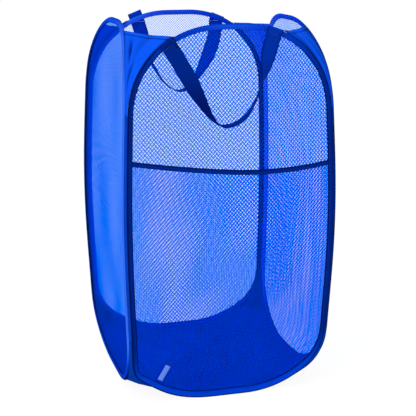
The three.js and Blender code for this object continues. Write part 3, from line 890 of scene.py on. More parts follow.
def casing_section(sizes, reach):
    """The folded tape's section at each station: away from the loop, out of the wall, and the painted
    shade on its folded edges and inner side. A circle arc round the wire, a waist at the stitches and a
    puffed hem."""
    hem = [(1.0, 0.00070), (0.97, 0.00125), (0.62, 0.00155), (0.28, 0.00145), (0.0, 0.00115)]
    share_in = np.array([place for place, _ in hem])
    hem_x = -sizes.stitch_line - share_in * (reach[:, None] - sizes.stitch_line)
    hem_y = np.broadcast_to(np.array([half for _, half in hem]), hem_x.shape)
    angle = np.radians([134, 110, 86, 62, 38, 13])
    nose_x = np.broadcast_to(sizes.radius * NOSE_FULLNESS * np.cos(angle), (len(reach), 6))
    nose_y = np.broadcast_to(sizes.radius * NOSE_FULLNESS * np.sin(angle), (len(reach), 6))
    x = np.concatenate([hem_x, nose_x], 1)
    y = np.concatenate([hem_y, nose_y], 1)
    keep = [10, 8, 6, 4, 2, 0]
    inner = 1 - sizes.cloth / np.maximum(np.hypot(np.where(x > -0.0022, x, 0), y), 0.0005)
    inner_x, inner_y = np.where(x > -0.0022, x * inner, x)[:, keep], (y * inner)[:, keep]
    # Painted shade along the nose's outer side, reaching further round its underside along the foot, and
    # along the hem's far edge; the tape's inner side is painted fully in shade
    foot = smooth(reach, sizes.hem_reach, sizes.foot_reach)[:, None] * 0.0012
    hem_painted_shade = smooth(-x, reach[:, None] - 0.0016, reach[:, None] - 0.0002)
    outer_painted_shade = smooth(x + foot, 0.0005, 0.0020) + hem_painted_shade
    section_x = np.concatenate([x, x[:, ::-1], inner_x[:, ::-1], inner_x], 1)
    section_y = np.concatenate([y, -y[:, ::-1], -inner_y[:, ::-1], inner_y], 1)
    dark = np.concatenate([outer_painted_shade, outer_painted_shade[:, ::-1], np.ones((len(reach), 12))], 1)
    return section_x, section_y, np.clip(dark, 0, 1)


def hem_reach_at(sizes, height):
    """The hem is widest along the foot and narrows as the loop rises."""
    return sizes.foot_reach + (sizes.hem_reach - sizes.foot_reach) * smooth(height, 0.010, 0.060)


class HAMPER_OT_casings(bpy.types.Operator):
    """Sew the four casings round their wire loops, with their stitches and the spring wires"""

    bl_idname = "hamper.casings"
    bl_label = "Casings and springs"

    def execute(self, context):
        scene = context.scene
        loop, sizes, colours = scene.hamper_loop, scene.hamper_casing, scene.hamper_colours
        tape = tape_material(colours)
        thread = thread_material(colours)
        for wall in WALL_ORDER:
            points, normals, along, total = loop_line(loop, wall, 600)
            reach = hem_reach_at(sizes, points[:, 1])
            x, y, dark = casing_section(sizes, reach)
            waves = np.sin(2 * math.pi * along / 0.0083)[:, None]
            pucker = 1 + 0.07 * waves * smooth(-x, 0.0010, 0.0034)
            rings = points[:, None] + normals[:, None] * x[..., None]
            grid = on_wall(loop, wall, rings[..., 0], rings[..., 1], y * pucker)
            # Painted light and shade: each upright is painted darker or lighter by UPRIGHTS above the foot;
            # the crown is painted lighter, as lit from above; the painted shade on the folded edges is
            # weakened on lit uprights and on the crown
            upright = np.where(points[:, 0] < 0, *UPRIGHTS[wall])
            upright = (upright * np.abs(normals[:, 0]) * smooth(points[:, 1], 0.015, 0.10))[:, None]
            crown = smooth(points[:, 1], 0.53, 0.58)[:, None]
            dark = dark * (1 + np.minimum(upright, 0)) * (1 - 0.75 * crown)
            edge = np.clip(dark + upright - 0.18 * crown, -1, 1)
            ring = ring_length(x[0], y[0])
            piece = carry(f"{wall}_casing_tape", grid, np.append(along, total), ring, tape, edge, True)
            seam = points - normals * sizes.stitch_line
            seam = np.concatenate([seam, seam[:1]])
            facing = turned(np.array([0.0, -1.0, 0.0]), WALLS[wall][0])
            rows = []
            for side in (1, -1):
                path = on_wall(loop, wall, seam[:, 0], seam[:, 1], side * STITCH_OUT)
                places, ahead = evenly(path, sizes.stitch_pitch)
                rows.append((places, ahead, np.broadcast_to(side * facing, places.shape)))
            places, ahead, outward = (np.concatenate(part) for part in zip(*rows))
            stitches = make_stitches(f"{wall}_casing_stitches", places, ahead, outward, sizes, thread)
            assign(piece, f"{wall}_wall", f"{wall}_casing")
            assign(stitches, f"{wall}_wall")
        steel = steel_material("spring steel", tuple(colours.steel))
        for wall in WALL_ORDER:
            self.spring(loop, wall, steel)
            self.sleeve(loop, wall, steel)
        return {"FINISHED"}

    def spring(self, loop, wall, steel):
        """A round wire along the loop's line, with the bow and the slack foot of the sewn loop."""
        points, normals, _, _ = loop_line(loop, wall, 420)
        angle = np.linspace(0, 2 * math.pi, 8, endpoint=False)
        rings = points[:, None] + normals[:, None] * (WIRE_RADIUS * np.cos(angle))[None, :, None]
        out = np.broadcast_to(WIRE_RADIUS * np.sin(angle), rings.shape[:2])
        grid = on_wall(loop, wall, rings[..., 0], rings[..., 1], out).reshape(-1, 3)
        wire = make_piece(f"{wall}_spring", grid, faced_out(grid, grid_quads(420, 8, True, True)), steel)
        assign(wire, f"{wall}_wall", f"{wall}_wire")

    def sleeve(self, loop, wall, steel):
        """The ferrule over the wire's two ends: a square profile turned round the wire."""
        profile = np.array([[-0.007, 0.0012], [-0.007, 0.0018], [0.007, 0.0018], [0.007, 0.0012]])
        angle = np.linspace(0, 2 * math.pi, 16, endpoint=False)[:, None]
        across = np.broadcast_to(profile[:, 0], (16, 4))
        height = CASING_RADIUS + profile[:, 1] * np.cos(angle)
        grid = on_wall(loop, wall, across, height, profile[:, 1] * np.sin(angle)).reshape(-1, 3)
        faces = faced_out(grid, grid_quads(16, 4, True, True))
        piece = make_piece(f"{wall}_sleeve", grid, faces, steel, flat=True)
        assign(piece, f"{wall}_wall", f"{wall}_ferrule")


# Gussets, seams and floor


def corner_sheet(loop, corner, part, angles, edge_gap, count):
    """A ruled sheet between two adjoining arcs: row by row, straight from one wall to the next.
    Points (row, column) with its start on the corner's own wall and its end on the next one."""
    turn = corner["turn"]
    sides = []
    for end in (0, 1):
        wall = WALL_ORDER[(turn + end) % 4]
        slack = part == "foot" and wall == "front" and end == 1
        point, normal = corner_arc(loop, part, angles[end], slack)
        edge = point + normal * edge_gap
        lean = lean_in(loop, edge[:, 1]) if WALLS[wall][1] else 0.0
        flat = np.full(len(edge), WALL_PLANE) - lean
        first, second = (edge[:, 0], -flat) if end == 0 else (flat, -edge[:, 0])
        sides.append(np.stack([first, second, edge[:, 1]], -1))
    u = np.linspace(0, 1, count)[None, :, None]
    return sides[0][:, None] * (1 - u) + sides[1][:, None] * u


def span_angle(loop, span):
    """Angle of the shoulder at which the arch has come in by the span."""
    reach = LOOP_HALF - loop.crown_run / 2
    return math.acos((LOOP_HALF - span - loop.crown_run / 2) / reach)


def wrinkled(grid, depth, creases):
    """Moves a sheet along its normals by narrow waves: each crease is a ridge beside a valley, the
    derivative of a bell curve across a slanting line, faded along its length. Also gives how deep
    each point lies in a valley, from 0 to 1."""
    rows, columns = grid.shape[:2]
    v, u = unit_grid(rows, columns)
    move = np.zeros((rows, columns))
    for at_u, at_v, slant, width, reach, size in creases:
        t = (u - at_u - slant * (v - at_v)) / width
        fade = np.exp(-(((v - at_v) / reach) ** 2))
        move += size * 1.65 * t * np.exp(-(t**2)) * fade
    ends = smooth(u, 0.0, 0.08) * smooth(1 - u, 0.0, 0.08)
    return grid + surface_normals(grid) * (move * ends * depth)[..., None], np.clip(-move * ends, 0, 1)


# Each crown gusset's creases: place across and up, slant, width, reach along and size
CREASES = {
    "front_left": [
        (0.26, 0.72, -0.05, 0.07, 0.13, 1.5),
        (0.46, 0.42, 0.50, 0.12, 0.13, 1.4),
        (0.62, 0.85, 0.60, 0.18, 0.25, 0.4),
    ],
    "front_right": [
        (0.3, 0.7, 0.3, 0.12, 0.3, 1.0),
        (0.75, 0.5, -0.2, 0.08, 0.3, 1.1),
        (0.5, 0.2, 0.1, 0.1, 0.2, 0.8),
    ],
    "back_right": [(0.35, 0.65, 0.4, 0.14, 0.3, 0.9), (0.7, 0.35, 0.0, 0.1, 0.25, 0.8)],
    "back_left": [(0.6, 0.7, -0.3, 0.13, 0.3, 0.9), (0.3, 0.35, 0.1, 0.09, 0.25, 0.9)],
}


def sheet_uv(grid):
    """A sheet's own metres: distance along each row, and along the first column."""
    across = np.linalg.norm(np.diff(grid, axis=1), axis=2)
    down = np.linalg.norm(np.diff(grid, axis=0), axis=2).mean(1)
    u = np.concatenate([np.zeros((len(grid), 1)), np.cumsum(across, 1)], 1)
    v = np.concatenate([[0], np.cumsum(down)])[:, None] + 0 * u
    return np.stack([u, v], -1)


def dress_corner(name, corner, node, grid, thickness, material, values=None):
    """Makes a corner's sheet. Three corners stay whole; the back right one is cut in two halves, and
    each rides on its own wall."""
    uv = sheet_uv(grid)
    turn = corner["turn"]
    start_body, end_body = corner["sides"]
    if name != "back_right":
        grid = turned(grid, turn)
        piece = make_sheet(f"{node}_cloth", grid, uv, thickness, material, values)
        pieces = [piece]
        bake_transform(piece)
    else:
        half = grid.shape[1] // 2
        pieces = []
        for letter, part, body, joint, axis in (
            ("a", slice(0, half + 1), start_body, "right_fold", 0),
            ("b", slice(half, None), end_body, "back_fold", 1),
        ):
            cut = turned(grid[:, part], turn)
            parts = {label: amount[:, part] for label, amount in (values or {}).items()}
            piece = make_sheet(f"{node}_cloth_{letter}", cut, uv[:, part], thickness, material, parts)
            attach(piece, body)
            normal, anchor = np.zeros(3), np.zeros(3)
            normal[axis] = 1.0
            anchor[axis] = WALL_PLANE
            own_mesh(piece)
            pieces.append(piece)
    for piece in pieces:
        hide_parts(node)
    return pieces


class HAMPER_OT_gussets(bpy.types.Operator):
    """Sew the crown gussets, the foot gussets and the corner seams"""

    bl_idname = "hamper.gussets"
    bl_label = "Gussets and seams"

    def execute(self, context):
        scene = context.scene
        loop, cloth, colours = scene.hamper_loop, scene.hamper_cloth, scene.hamper_colours
        # The gusset nylon gets painted shade and painted light by each piece's edge value
        nylon = cloth_material(
            "gusset nylon",
            tuple(colours.nylon),
            edge=tuple(colours.casing_painted_shade),
            light=tuple(colours.casing_painted_light),
            pitch=cloth.weave,
            sheen=0.35,
            amount=0.16,
        )
        gap = scene.hamper_casing.radius * NOSE_FULLNESS + SEWN_GAP
        for name, corner in CORNERS.items():
            self.crown(loop, cloth, name, corner, gap, nylon)
            self.foot(loop, cloth, name, corner, gap, floor_material(colours, cloth))
            self.seam(loop, cloth, name, corner, gap, nylon)
        return {"FINISHED"}

    def crown(self, loop, cloth, name, corner, gap, nylon):
        """Up to a sagging free edge with a narrow hem, creased where the wires pull it."""
        rows, columns = 64, 60
        v, u = unit_grid(rows, columns)
        angles = [np.linspace(0, span_angle(loop, span), rows) for span in corner["spans"]]
        grid = corner_sheet(loop, corner, "crown", angles, gap, columns)
        grid[..., 2] -= cloth.crown_sag * corner["sag"] * v**2 * np.sin(math.pi * u)
        grid, valley = wrinkled(grid, cloth.wrinkle, CREASES[name])
        hem = smooth(v, 0.935, 0.945) * (1 - smooth(v, 0.985, 1.0))
        grid = grid + surface_normals(grid) * (0.0005 * hem)[..., None]
        # Painted shade: a dark line under the hem and along the free edge, bands along both sides as wide as
        # the corner's rims, and the crease valleys; the corner's crown value paints the whole gusset,
        # painted light where negative and painted shade where positive
        line = np.exp(-(((v - 0.935) / 0.008) ** 2)) + 0.8 * smooth(v, 0.985, 1.0)
        sides = (1 - smooth(u, 0.0, corner["rims"][0])) + (1 - smooth(1 - u, 0.0, corner["rims"][1]))
        edge = {"edge": np.clip(line * 0.7 + 0.8 * sides + 0.9 * valley + corner["crown"], -1, 1)}
        dress_corner(name, corner, f"{name}_top_gusset", grid, cloth.thickness, nylon, edge)

    def foot(self, loop, cloth, name, corner, gap, nylon):
        """Down the rounded feet, pushed out towards the corner by its fullness."""
        rows, columns = 40, 36
        v, u = unit_grid(rows, columns)
        angles = [np.linspace(0, math.pi * 0.29, rows)] * 2
        grid = corner_sheet(loop, corner, "foot", angles, gap, columns)
        tent = np.sqrt((1 - np.abs(2 * u - 1)) ** 2 * 0.92 + 0.0016) - 0.04
        middle = grid[:, [0]] * 0.5 + grid[:, [-1]] * 0.5
        target = np.broadcast_to([WALL_PLANE, -WALL_PLANE, 0.0], middle.shape).copy()
        target[..., 2] = middle[..., 2] + 0.003 * v[:, :1]
        grid = grid + (target - middle) * (corner["fullness"] * np.clip(tent, 0, 1))[..., None]
        creases = [(0.3, 0.5, 0.2, 0.1, 0.3, 0.8), (0.7, 0.6, -0.2, 0.1, 0.3, 0.8)]
        grid, _ = wrinkled(grid, cloth.wrinkle * 0.6, creases)
        # Painted shade along the foot gusset's two sewn sides
        sides = 0.7 * (1 - smooth(u, 0.0, 0.06)) + 0.7 * (1 - smooth(1 - u, 0.0, 0.06))
        edge = {"edge": np.clip(sides, 0, 1)}
        dress_corner(name, corner, f"{name}_foot_gusset", grid, cloth.thickness, nylon, edge)

    def seam(self, loop, cloth, name, corner, gap, nylon):
        """A narrow strip that draws the two loops together, sunk between them as a valley."""
        rows, columns = 80, 7
        v, u = unit_grid(rows, columns)
        low, high = loop.foot_rise + SEWN_GAP, loop.height - loop.shoulder_rise - SEWN_GAP
        height = low + (high - low) * v
        reach = LOOP_HALF + gap
        start, end = np.array([reach, -WALL_PLANE]), np.array([WALL_PLANE, -reach])
        flat = start * (1 - u[..., None]) + end * u[..., None]
        sink = 0.0014 * np.sin(math.pi * u) * (1 + 0.25 * np.sin(height * 210))
        flat = flat + np.array([-0.7071, 0.7071]) * sink[..., None]
        grid = np.concatenate([flat, height[..., None]], -1)
        # Each seam is painted with its corner's seam value: painted light where negative and painted shade
        # where positive
        edge = {"edge": np.full(u.shape, corner["seam"])}
        dress_corner(name, corner, f"{name}_seam", grid, cloth.thickness, nylon, edge)


class HAMPER_OT_floor(bpy.types.Operator):
    """Sew the nylon floor to the loops' feet"""

    bl_idname = "hamper.floor"
    bl_label = "Floor"

    def execute(self, context):
        scene = context.scene
        loop, cloth, colours = scene.hamper_loop, scene.hamper_cloth, scene.hamper_colours
        nylon = floor_material(colours, cloth)
        grid, edge = self.surface(loop)
        piece = make_sheet("floor_cloth", grid, sheet_uv(grid), cloth.thickness, nylon, {"edge": edge})
        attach(piece, "front_wall")
        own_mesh(piece)
        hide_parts("floor")
        return {"FINISHED"}

    def surface(self, loop):
        """Flat in the middle and lifted towards each corner by the product of the two feet's own
        curves. Its corners are drawn in to their gusset's lower edge, the more the nearer to the rim,
        and slow waves cross it."""
        count = 90
        half = WALL_PLANE - 0.0024
        line = np.sin(np.linspace(-1, 1, count) * math.pi / 2) * half
        y, x = np.meshgrid(line, line, indexing="ij")
        corner_x = loop.foot_run / 2 + (LOOP_HALF - loop.foot_run / 2) * math.sin(math.pi / 4)
        corner_lift = foot_height(loop, corner_x) - CASING_RADIUS
        slack = smooth(-y, 0.0, half) * (x < 0)
        lift_x = foot_height(loop, x) * (1 - slack) + foot_height(loop, x, True) * slack
        lift_x, lift_y = (
            np.clip((lift - CASING_RADIUS) / corner_lift, 0, 1) for lift in (lift_x, foot_height(loop, y))
        )
        height = CASING_RADIUS + corner_lift * lift_x * lift_y
        fullness = np.where(
            x > 0,
            np.where(y > 0, CORNERS["back_right"]["fullness"], CORNERS["front_right"]["fullness"]),
            np.where(y > 0, CORNERS["back_left"]["fullness"], CORNERS["front_left"]["fullness"]),
        )
        ring = np.maximum(np.abs(x), np.abs(y)) / half
        tent = np.clip(1 - np.abs(np.abs(x) - np.abs(y)) / ring / (half - corner_x), 0, 1)
        cut = half + corner_x + fullness * (half - corner_x) * tent
        scale = 1 - (1 - np.minimum(1, cut * ring / (np.abs(x) + np.abs(y)))) * ring**6
        lean = lean_in(loop, height) * smooth(np.abs(x), 0.6 * half, half)
        waves = 0.0008 * np.sin(x * 33 + 1.1) * np.sin(y * 27 + 0.4) * smooth(half - np.abs(x), 0, 0.04)
        waves *= smooth(half - np.abs(y), 0, 0.04)
        grid = np.stack([x * scale - np.sign(x) * lean, y * scale, height + waves], -1)
        # Painted shade along the floor's rim
        rim = np.minimum(half - np.abs(x), half - np.abs(y))
        return grid, 0.8 * (1 - smooth(rim, 0.0, 0.004))


# Pocket


def mouth_height(pocket, across):
    """Height of the pocket's mouth: lowest a little right of the middle, and higher at its left end."""
    left = np.clip((0.040 - across) / 0.198, 0, None)
    right = np.clip((across - 0.040) / 0.119, 0, None)
    return pocket.mouth + pocket.left_rise * left**1.36 + pocket.right_rise * right**2.4


def pocket_out(net, pocket, across, share_up):
    """Distance of the pocket's net out of the wall: a parabola across and a quarter sine upwards."""
    half = LOOP_HALF - HEM_REACH - SEWN_GAP
    width = np.clip(1 - (across / half) ** 2, 0, None)
    return net.setback + pocket.bulge * width * np.sin(math.pi / 2 * np.clip(share_up, 0, 1))


def drape(pocket, across, height):
    """Soft folds that fan out of the pocket's lower left corner: waves in the angle seen from it."""
    x, z = across + 0.175, height + 0.010
    angle, far = np.arctan2(z, x), np.hypot(x, z)
    waves = pocket.drape * np.sin(angle * 17 + far * 9)
    return waves * smooth(far, 0.03, 0.12) * (1 - smooth(far, 0.28, 0.40))


class HAMPER_OT_pocket(bpy.types.Operator):
    """Knit the front pocket and bind its mouth with tape"""

    bl_idname = "hamper.pocket"
    bl_label = "Pocket and tape"

    def execute(self, context):
        scene = context.scene
        loop, net, pocket = scene.hamper_loop, scene.hamper_net, scene.hamper_pocket
        line, normals, _, _ = loop_line(loop, "front", 560)
        corners, quads = net_cells(net, NETS["pocket"], pocket.mouth + pocket.left_rise, 0.0022)
        corners, inside, depth = within(corners, line, normals, NET_INSET)
        top = mouth_height(pocket, corners[:, 0]) - 0.001
        inside &= corners[:, 1] < top
        corners[:, 1] = np.minimum(corners[:, 1], top)
        slack_foot, foot = (foot_height(loop, corners[:, 0], slack) for slack in (True, False))
        floor = np.where(corners[:, 0] < 0, slack_foot, foot)
        share_up = (corners[:, 1] - floor) / np.maximum(top - floor, 0.01)
        ease = smooth(depth, 0.004, 0.03)
        out = pocket_out(net, pocket, corners[:, 0], share_up) + drape(pocket, *corners.T) * ease
        out = np.maximum(out, net.setback)
        yarn = yarn_material("net yarn", tuple(scene.hamper_colours.yarn))
        half = pocket.mouth / 2
        upper = corners[quads, 1].mean(1) > half
        for part, chosen, tall in (("lower", ~upper, half), ("upper", upper, half + pocket.left_rise)):
            name = f"pocket_netting_{part}"
            piece = net_piece(name, loop, "front", net, corners, quads[chosen], inside, out, yarn)
            assign(piece, "front_wall", "pocket_net")
        self.tape(scene)
        return {"FINISHED"}

    def tape(self, scene):
        """Tape folded over the mouth: a flattened U carried along the mouth's curve."""
        net, pocket, loop = scene.hamper_net, scene.hamper_pocket, scene.hamper_loop
        colours = scene.hamper_colours
        count = 160
        across = np.linspace(-1, 1, count) * (LOOP_HALF - HEM_REACH - SEWN_GAP)
        half, wall, low = 0.0010, 0.0004, -pocket.tape
        outer = [(-half, low), (-half - 0.0002, low / 2), (-half, -0.0006), (-half * 0.6, 0.0004)]
        outer += [(0, 0.0008)]
        inner = [(wall - half, z) for z in (low, low / 2, -0.0010, -0.0002)] + [(0, 0.0003)]
        outer += [(-x, z) for x, z in outer[-2::-1]]
        inner += [(-x, z) for x, z in inner[-2::-1]]
        section = np.array(outer + inner[::-1])
        top = mouth_height(pocket, across)
        out = pocket_out(net, pocket, across, np.ones(count))
        height = top[:, None] + section[None, :, 1]
        depth = out[:, None] + section[None, :, 0]
        grid = on_wall(loop, "front", np.broadcast_to(across[:, None], height.shape), height, depth)
        ring = ring_length(*section.T)
        z = section[:, 1]
        # Painted shade along the tape's lower edge and over its fold, and painted shade over the whole tape
        edge = smooth(-z, pocket.tape - 0.0016, pocket.tape - 0.0002) + 0.9 * smooth(z, -0.0012, 0.0004)
        tape = tape_material(colours)
        tape_painted_shade = np.clip(edge + 0.7, 0, 1)
        piece = carry("pocket_tape", grid, np.append(across, across[-1]), ring, tape, tape_painted_shade)
        thread = thread_material(colours)
        path = on_wall(loop, "front", across, top - pocket.tape + 0.0014, out + half + 0.0001)
        places, ahead = evenly(path, scene.hamper_casing.stitch_pitch)
        outward = np.broadcast_to([0.0, -1.0, 0.0], places.shape)
        stitches = make_stitches("pocket_tape_stitches", places, ahead, outward, scene.hamper_casing, thread)
        assign(piece, "front_wall", "pocket_band")
        assign(stitches, "front_wall")


# Handles and tag


def webbing_section(sizes):
    """A flat strap with half-round edges: across its width and through its depth, upper half first."""
    depth = sizes.thickness / 2
    half = sizes.width / 2 - depth
    bend = np.radians([20, 60])
    flat = np.linspace(-half, half, 7)
    width = np.concatenate([-half - depth * np.cos(bend), flat, half + depth * np.cos(bend[::-1])])
    through = np.concatenate([depth * np.sin(bend), np.full(7, depth), depth * np.sin(bend[::-1])])
    return np.append(width, width[::-1]), np.append(through, -through[::-1])


def strap_piece(name, places, widths, faces_out, sizes, material, shade):
    """The webbing's section carried along a path with its own width and face directions, and its
    painted shade at each place."""
    width, through = webbing_section(sizes)
    grid = places[:, None] + widths[:, None] * width[:, None] + faces_out[:, None] * through[:, None]
    along = distances(places)
    # Painted shade along the webbing's rounded edges, and the place's own painted shade, whichever is deeper
    edge = np.maximum(0.8 * smooth(np.abs(width), sizes.width / 2 - 0.0025, sizes.width / 2), shade[:, None])
    return carry(name, grid, np.append(along, along[-1]), ring_length(width, through), material, edge)


def handle_frame(handle, vectors, plane):
    """Across, out and height in a handle's wall, as directions or, with the plane, places."""
    return turned(np.stack([vectors[:, 0], -plane - vectors[:, 1], vectors[:, 2]], -1), handle["turn"])


def in_hamper(handle, places, widths, faces_out):
    """A strap's places, widths and faces, turned from its wall's own axes into the hamper's."""
    parts = ((places, WALL_PLANE), (widths, 0), (faces_out, 0))
    return (handle_frame(handle, part, plane) for part, plane in parts)


def handle_roots(loop, casing, handle):
    """Where the loose strap leaves the casing, and the fold line through its two roots."""
    inner_width = 2 * (LOOP_HALF + CORNER_LINE)
    roots = []
    for side in (-1, 1):
        arch, normal = arch_at(loop, inner_width * (handle["centre"] + side * handle["spread"]))
        roots.append(dict(arch=arch, normal=normal, root=arch - normal * ROOT_DEPTH))
    fold = normalised(roots[1]["root"] - roots[0]["root"])
    return roots, fold, inner_width


def bezier(points, t):
    """A cubic through its four control points."""
    a, b, c, d = points
    t = t[:, None]
    return a * (1 - t) ** 3 + 3 * b * t * (1 - t) ** 2 + 3 * c * t**2 * (1 - t) + d * t**3


class HAMPER_OT_handles(bpy.types.Operator):
    """Sew on the two webbing handles"""

    bl_idname = "hamper.handles"
    bl_label = "Webbing handles"

    def execute(self, context):
        scene = context.scene
        loop, casing, sizes = scene.hamper_loop, scene.hamper_casing, scene.hamper_handle
        # The webbing gets painted shade by each piece's edge value
        webbing = cloth_material(
            "handle webbing",
            tuple(scene.hamper_colours.webbing),
            edge=tuple(scene.hamper_colours.casing_painted_shade),
            pitch=sizes.rib,
            ribbed=True,
            sheen=0.35,
            rough=0.15,
        )
        for name, handle in HANDLES.items():
            self.strap(loop, casing, sizes, name, handle, webbing)
            self.tabs(scene, name, handle)
        return {"FINISHED"}

    def strap(self, loop, casing, sizes, name, handle, webbing):
        """Two cubic legs meet at the lowest point; the webbing turns a quarter turn down each leg."""
        roots, fold, inner_width = handle_roots(loop, casing, handle)
        spread, drop = inner_width * handle["spread"], loop.height * handle["drop"]
        lowest = np.array(
            [
                inner_width * handle["centre"] + spread * handle["bow"],
                (roots[0]["root"][1] + roots[1]["root"][1]) / 2 - drop,
            ]
        )
        out = np.array([0.0, 1.0, 0.0])
        rings = []
        kinds = (handle[kind] for kind in ("plumb", "rounds", "twists", "over_twists"))
        legs = zip(roots, (-1, 1), *kinds)
        for end, outward, plumb, rounded, twisted, too_far in legs:
            start = end["root"] - end["normal"] * ROOT_GAP
            down = normalised(end["normal"] * (1 - plumb) + np.array([0, plumb]))
            pull = end["root"] - down * drop * 0.52
            bow = np.array([lowest[0] + outward * spread * rounded, lowest[1]])
            fine = bezier((start, pull, bow, lowest), np.linspace(0, 1, 800))
            far = distances(fine)
            down_leg = np.linspace(0, 1, 90)
            middle = np.stack([np.interp(down_leg * far[-1], far, fine[:, axis]) for axis in (0, 1)], -1)
            tangent = normalised(np.gradient(middle, axis=0))
            convex = np.stack([-tangent[:, 1] * outward, 0 * down_leg, tangent[:, 0] * outward], -1)
            spin = smooth(down_leg, 0.10, twisted) * math.pi / 2
            spin = spin + math.radians(too_far) * np.sin(math.pi * down_leg) ** 2
            c, s = np.cos(spin)[:, None], np.sin(spin)[:, None]
            face = out * c + convex * s
            width = convex * c - out * s
            place = np.stack([middle[:, 0], WEBBING_OUT + s[:, 0] * sizes.width / 2, middle[:, 1]], -1)
            across = np.array([end["normal"][1], -end["normal"][0]])
            cut = np.array([fold[0], 0.0, fold[1]]) / (fold @ across) * outward
            ease = (1 - smooth(down_leg, 0.0, 0.03))[:, None]
            cut = -cut if (cut * width[0]).sum() < 0 else cut
            rings.append((place, width * (1 - ease) + cut * ease, face))
        left, right = rings
        places, widths, faces_out = (np.concatenate([a, b[-2::-1]]) for a, b in zip(left, right))
        places, widths, faces_out = in_hamper(handle, places, widths, faces_out)
        # Painted shade down each leg, from the leg's value in HANDLES, weaker near the roots and full
        # towards the lowest point
        first, last = handle["painted_shades"]
        ahead = np.linspace(0, 1, len(places))
        shade = first + (last - first) * smooth(ahead, 0.45, 0.55)
        shade *= 0.6 + 0.4 * smooth(1 - np.abs(2 * ahead - 1), 0.1, 0.8)
        piece = strap_piece(f"{name}_handle_strap", places, widths, faces_out, sizes, webbing, shade)
        assign(piece, f"{name}_handle", f"{name}_handle")

    def tabs(self, scene, name, handle):
        """Each sewn end is flat webbing over the casing, held by a stitched box."""
        loop, casing, sizes = scene.hamper_loop, scene.hamper_casing, scene.hamper_handle
        roots, fold, _ = handle_roots(loop, casing, handle)
        colours = scene.hamper_colours
        thread = thread_material(colours)
        # The sewn webbing gets painted shade by each tab's edge value
        edge = tuple(colours.casing_painted_shade)
        sewn = cloth_material(
            "sewn webbing", tuple(colours.sewn), edge=edge, pitch=sizes.rib, ribbed=True, sheen=0.3
        )
        ends = zip(("left", "right"), roots, handle["overhang"], handle["tabs"])
        for side, end, over, shade in ends:
            across = np.array([end["normal"][1], -end["normal"][0]])
            top = end["arch"] + end["normal"] * (casing.radius + over)
            low = end["root"] + end["normal"] * ROOT_GAP
            t = np.linspace(0, 1, 14)[:, None]
            middle = top * (1 - t) + low * t
            cut = fold / (fold @ across)
            width = across * (1 - t) + cut * t
            places = np.stack([middle[:, 0], np.full(14, WEBBING_OUT), middle[:, 1]], -1)
            widths = np.stack([width[:, 0], np.zeros(14), width[:, 1]], -1)
            faces_out = np.tile([0.0, 1.0, 0.0], (14, 1))
            node = f"{name}_handle_{side}_tab"
            places, widths, faces_out = in_hamper(handle, places, widths, faces_out)
            # Each tab gets one painted shade value from HANDLES
            painted_shades = np.full(14, shade)
            piece = strap_piece(f"{node}_webbing", places, widths, faces_out, sizes, sewn, painted_shades)
            side_at, first = sizes.width / 2 - 0.003, 0.0018
            last = np.linalg.norm(top - low) - first
            box = np.array([[-side_at, first], [side_at, first], [side_at, last], [-side_at, last]])
            box = np.append(box, box[:1], 0)
            path = top + across * box[:, :1] - end["normal"] * box[:, 1:]
            legs = [np.stack([path[k], path[k + 1]]) for k in range(4)]
            spots, heads = [], []
            for leg in legs:
                line = np.stack([leg[:, 0], np.full(2, WEBBING_OUT + sizes.thickness / 2), leg[:, 1]], -1)
                fine = line[0] + (line[1] - line[0]) * np.linspace(0, 1, 20)[:, None]
                placed, ahead = evenly(fine, 0.0032)
                spots.append(placed)
                heads.append(ahead)
            spots = handle_frame(handle, np.concatenate(spots), WALL_PLANE)
            heads = handle_frame(handle, np.concatenate(heads), 0)
            outward = handle_frame(handle, np.tile([0.0, 1.0, 0.0], (len(spots), 1)), 0)
            stitches = make_stitches(f"{node}_stitches", spots, heads, outward, casing, thread)
            assign(piece, f"{name}_wall", node)
            assign(stitches, f"{name}_wall")


class HAMPER_OT_tag(bpy.types.Operator):
    """Sew on the blank tag"""

    bl_idname = "hamper.tag"
    bl_label = "Blank tag"

    def execute(self, context):
        scene = context.scene
        colour = tuple(scene.hamper_colours.tag)
        ribbon = cloth_material("tag ribbon", colour, pitch=0.0030, ribbed=True, sheen=0.2)
        low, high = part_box("tag")
        centre = [(low[axis] + high[axis]) / 2 for axis in range(3)]
        grid, edge = self.surface(scene.hamper_handle, centre)
        piece = make_sheet("blank_tag", grid, sheet_uv(grid), 0.0005, ribbon, {"edge": edge})
        assign(piece, "front_wall", "tag")
        return {"FINISHED"}

    def surface(self, sizes, centre):
        """A short ribbon tilted 30 degrees with a gentle curl, the sine of its length."""
        v, u = np.meshgrid(np.linspace(-0.5, 0.5, 25), np.linspace(-0.5, 0.5, 11), indexing="ij")
        across, up = u * sizes.tag_width, v * sizes.tag_length
        c, s = math.cos(math.radians(30)), math.sin(math.radians(30))
        x = centre[0] - 0.002 + across * c + up * s
        z = centre[2] - 0.006 - across * s + up * c
        curl = 0.0006 * np.sin(v * 5) + 0.0003 * np.cos(u * 6)
        y = centre[1] - 0.0004 - curl
        return np.stack([x, y, z], -1), np.zeros_like(u)


# Stage


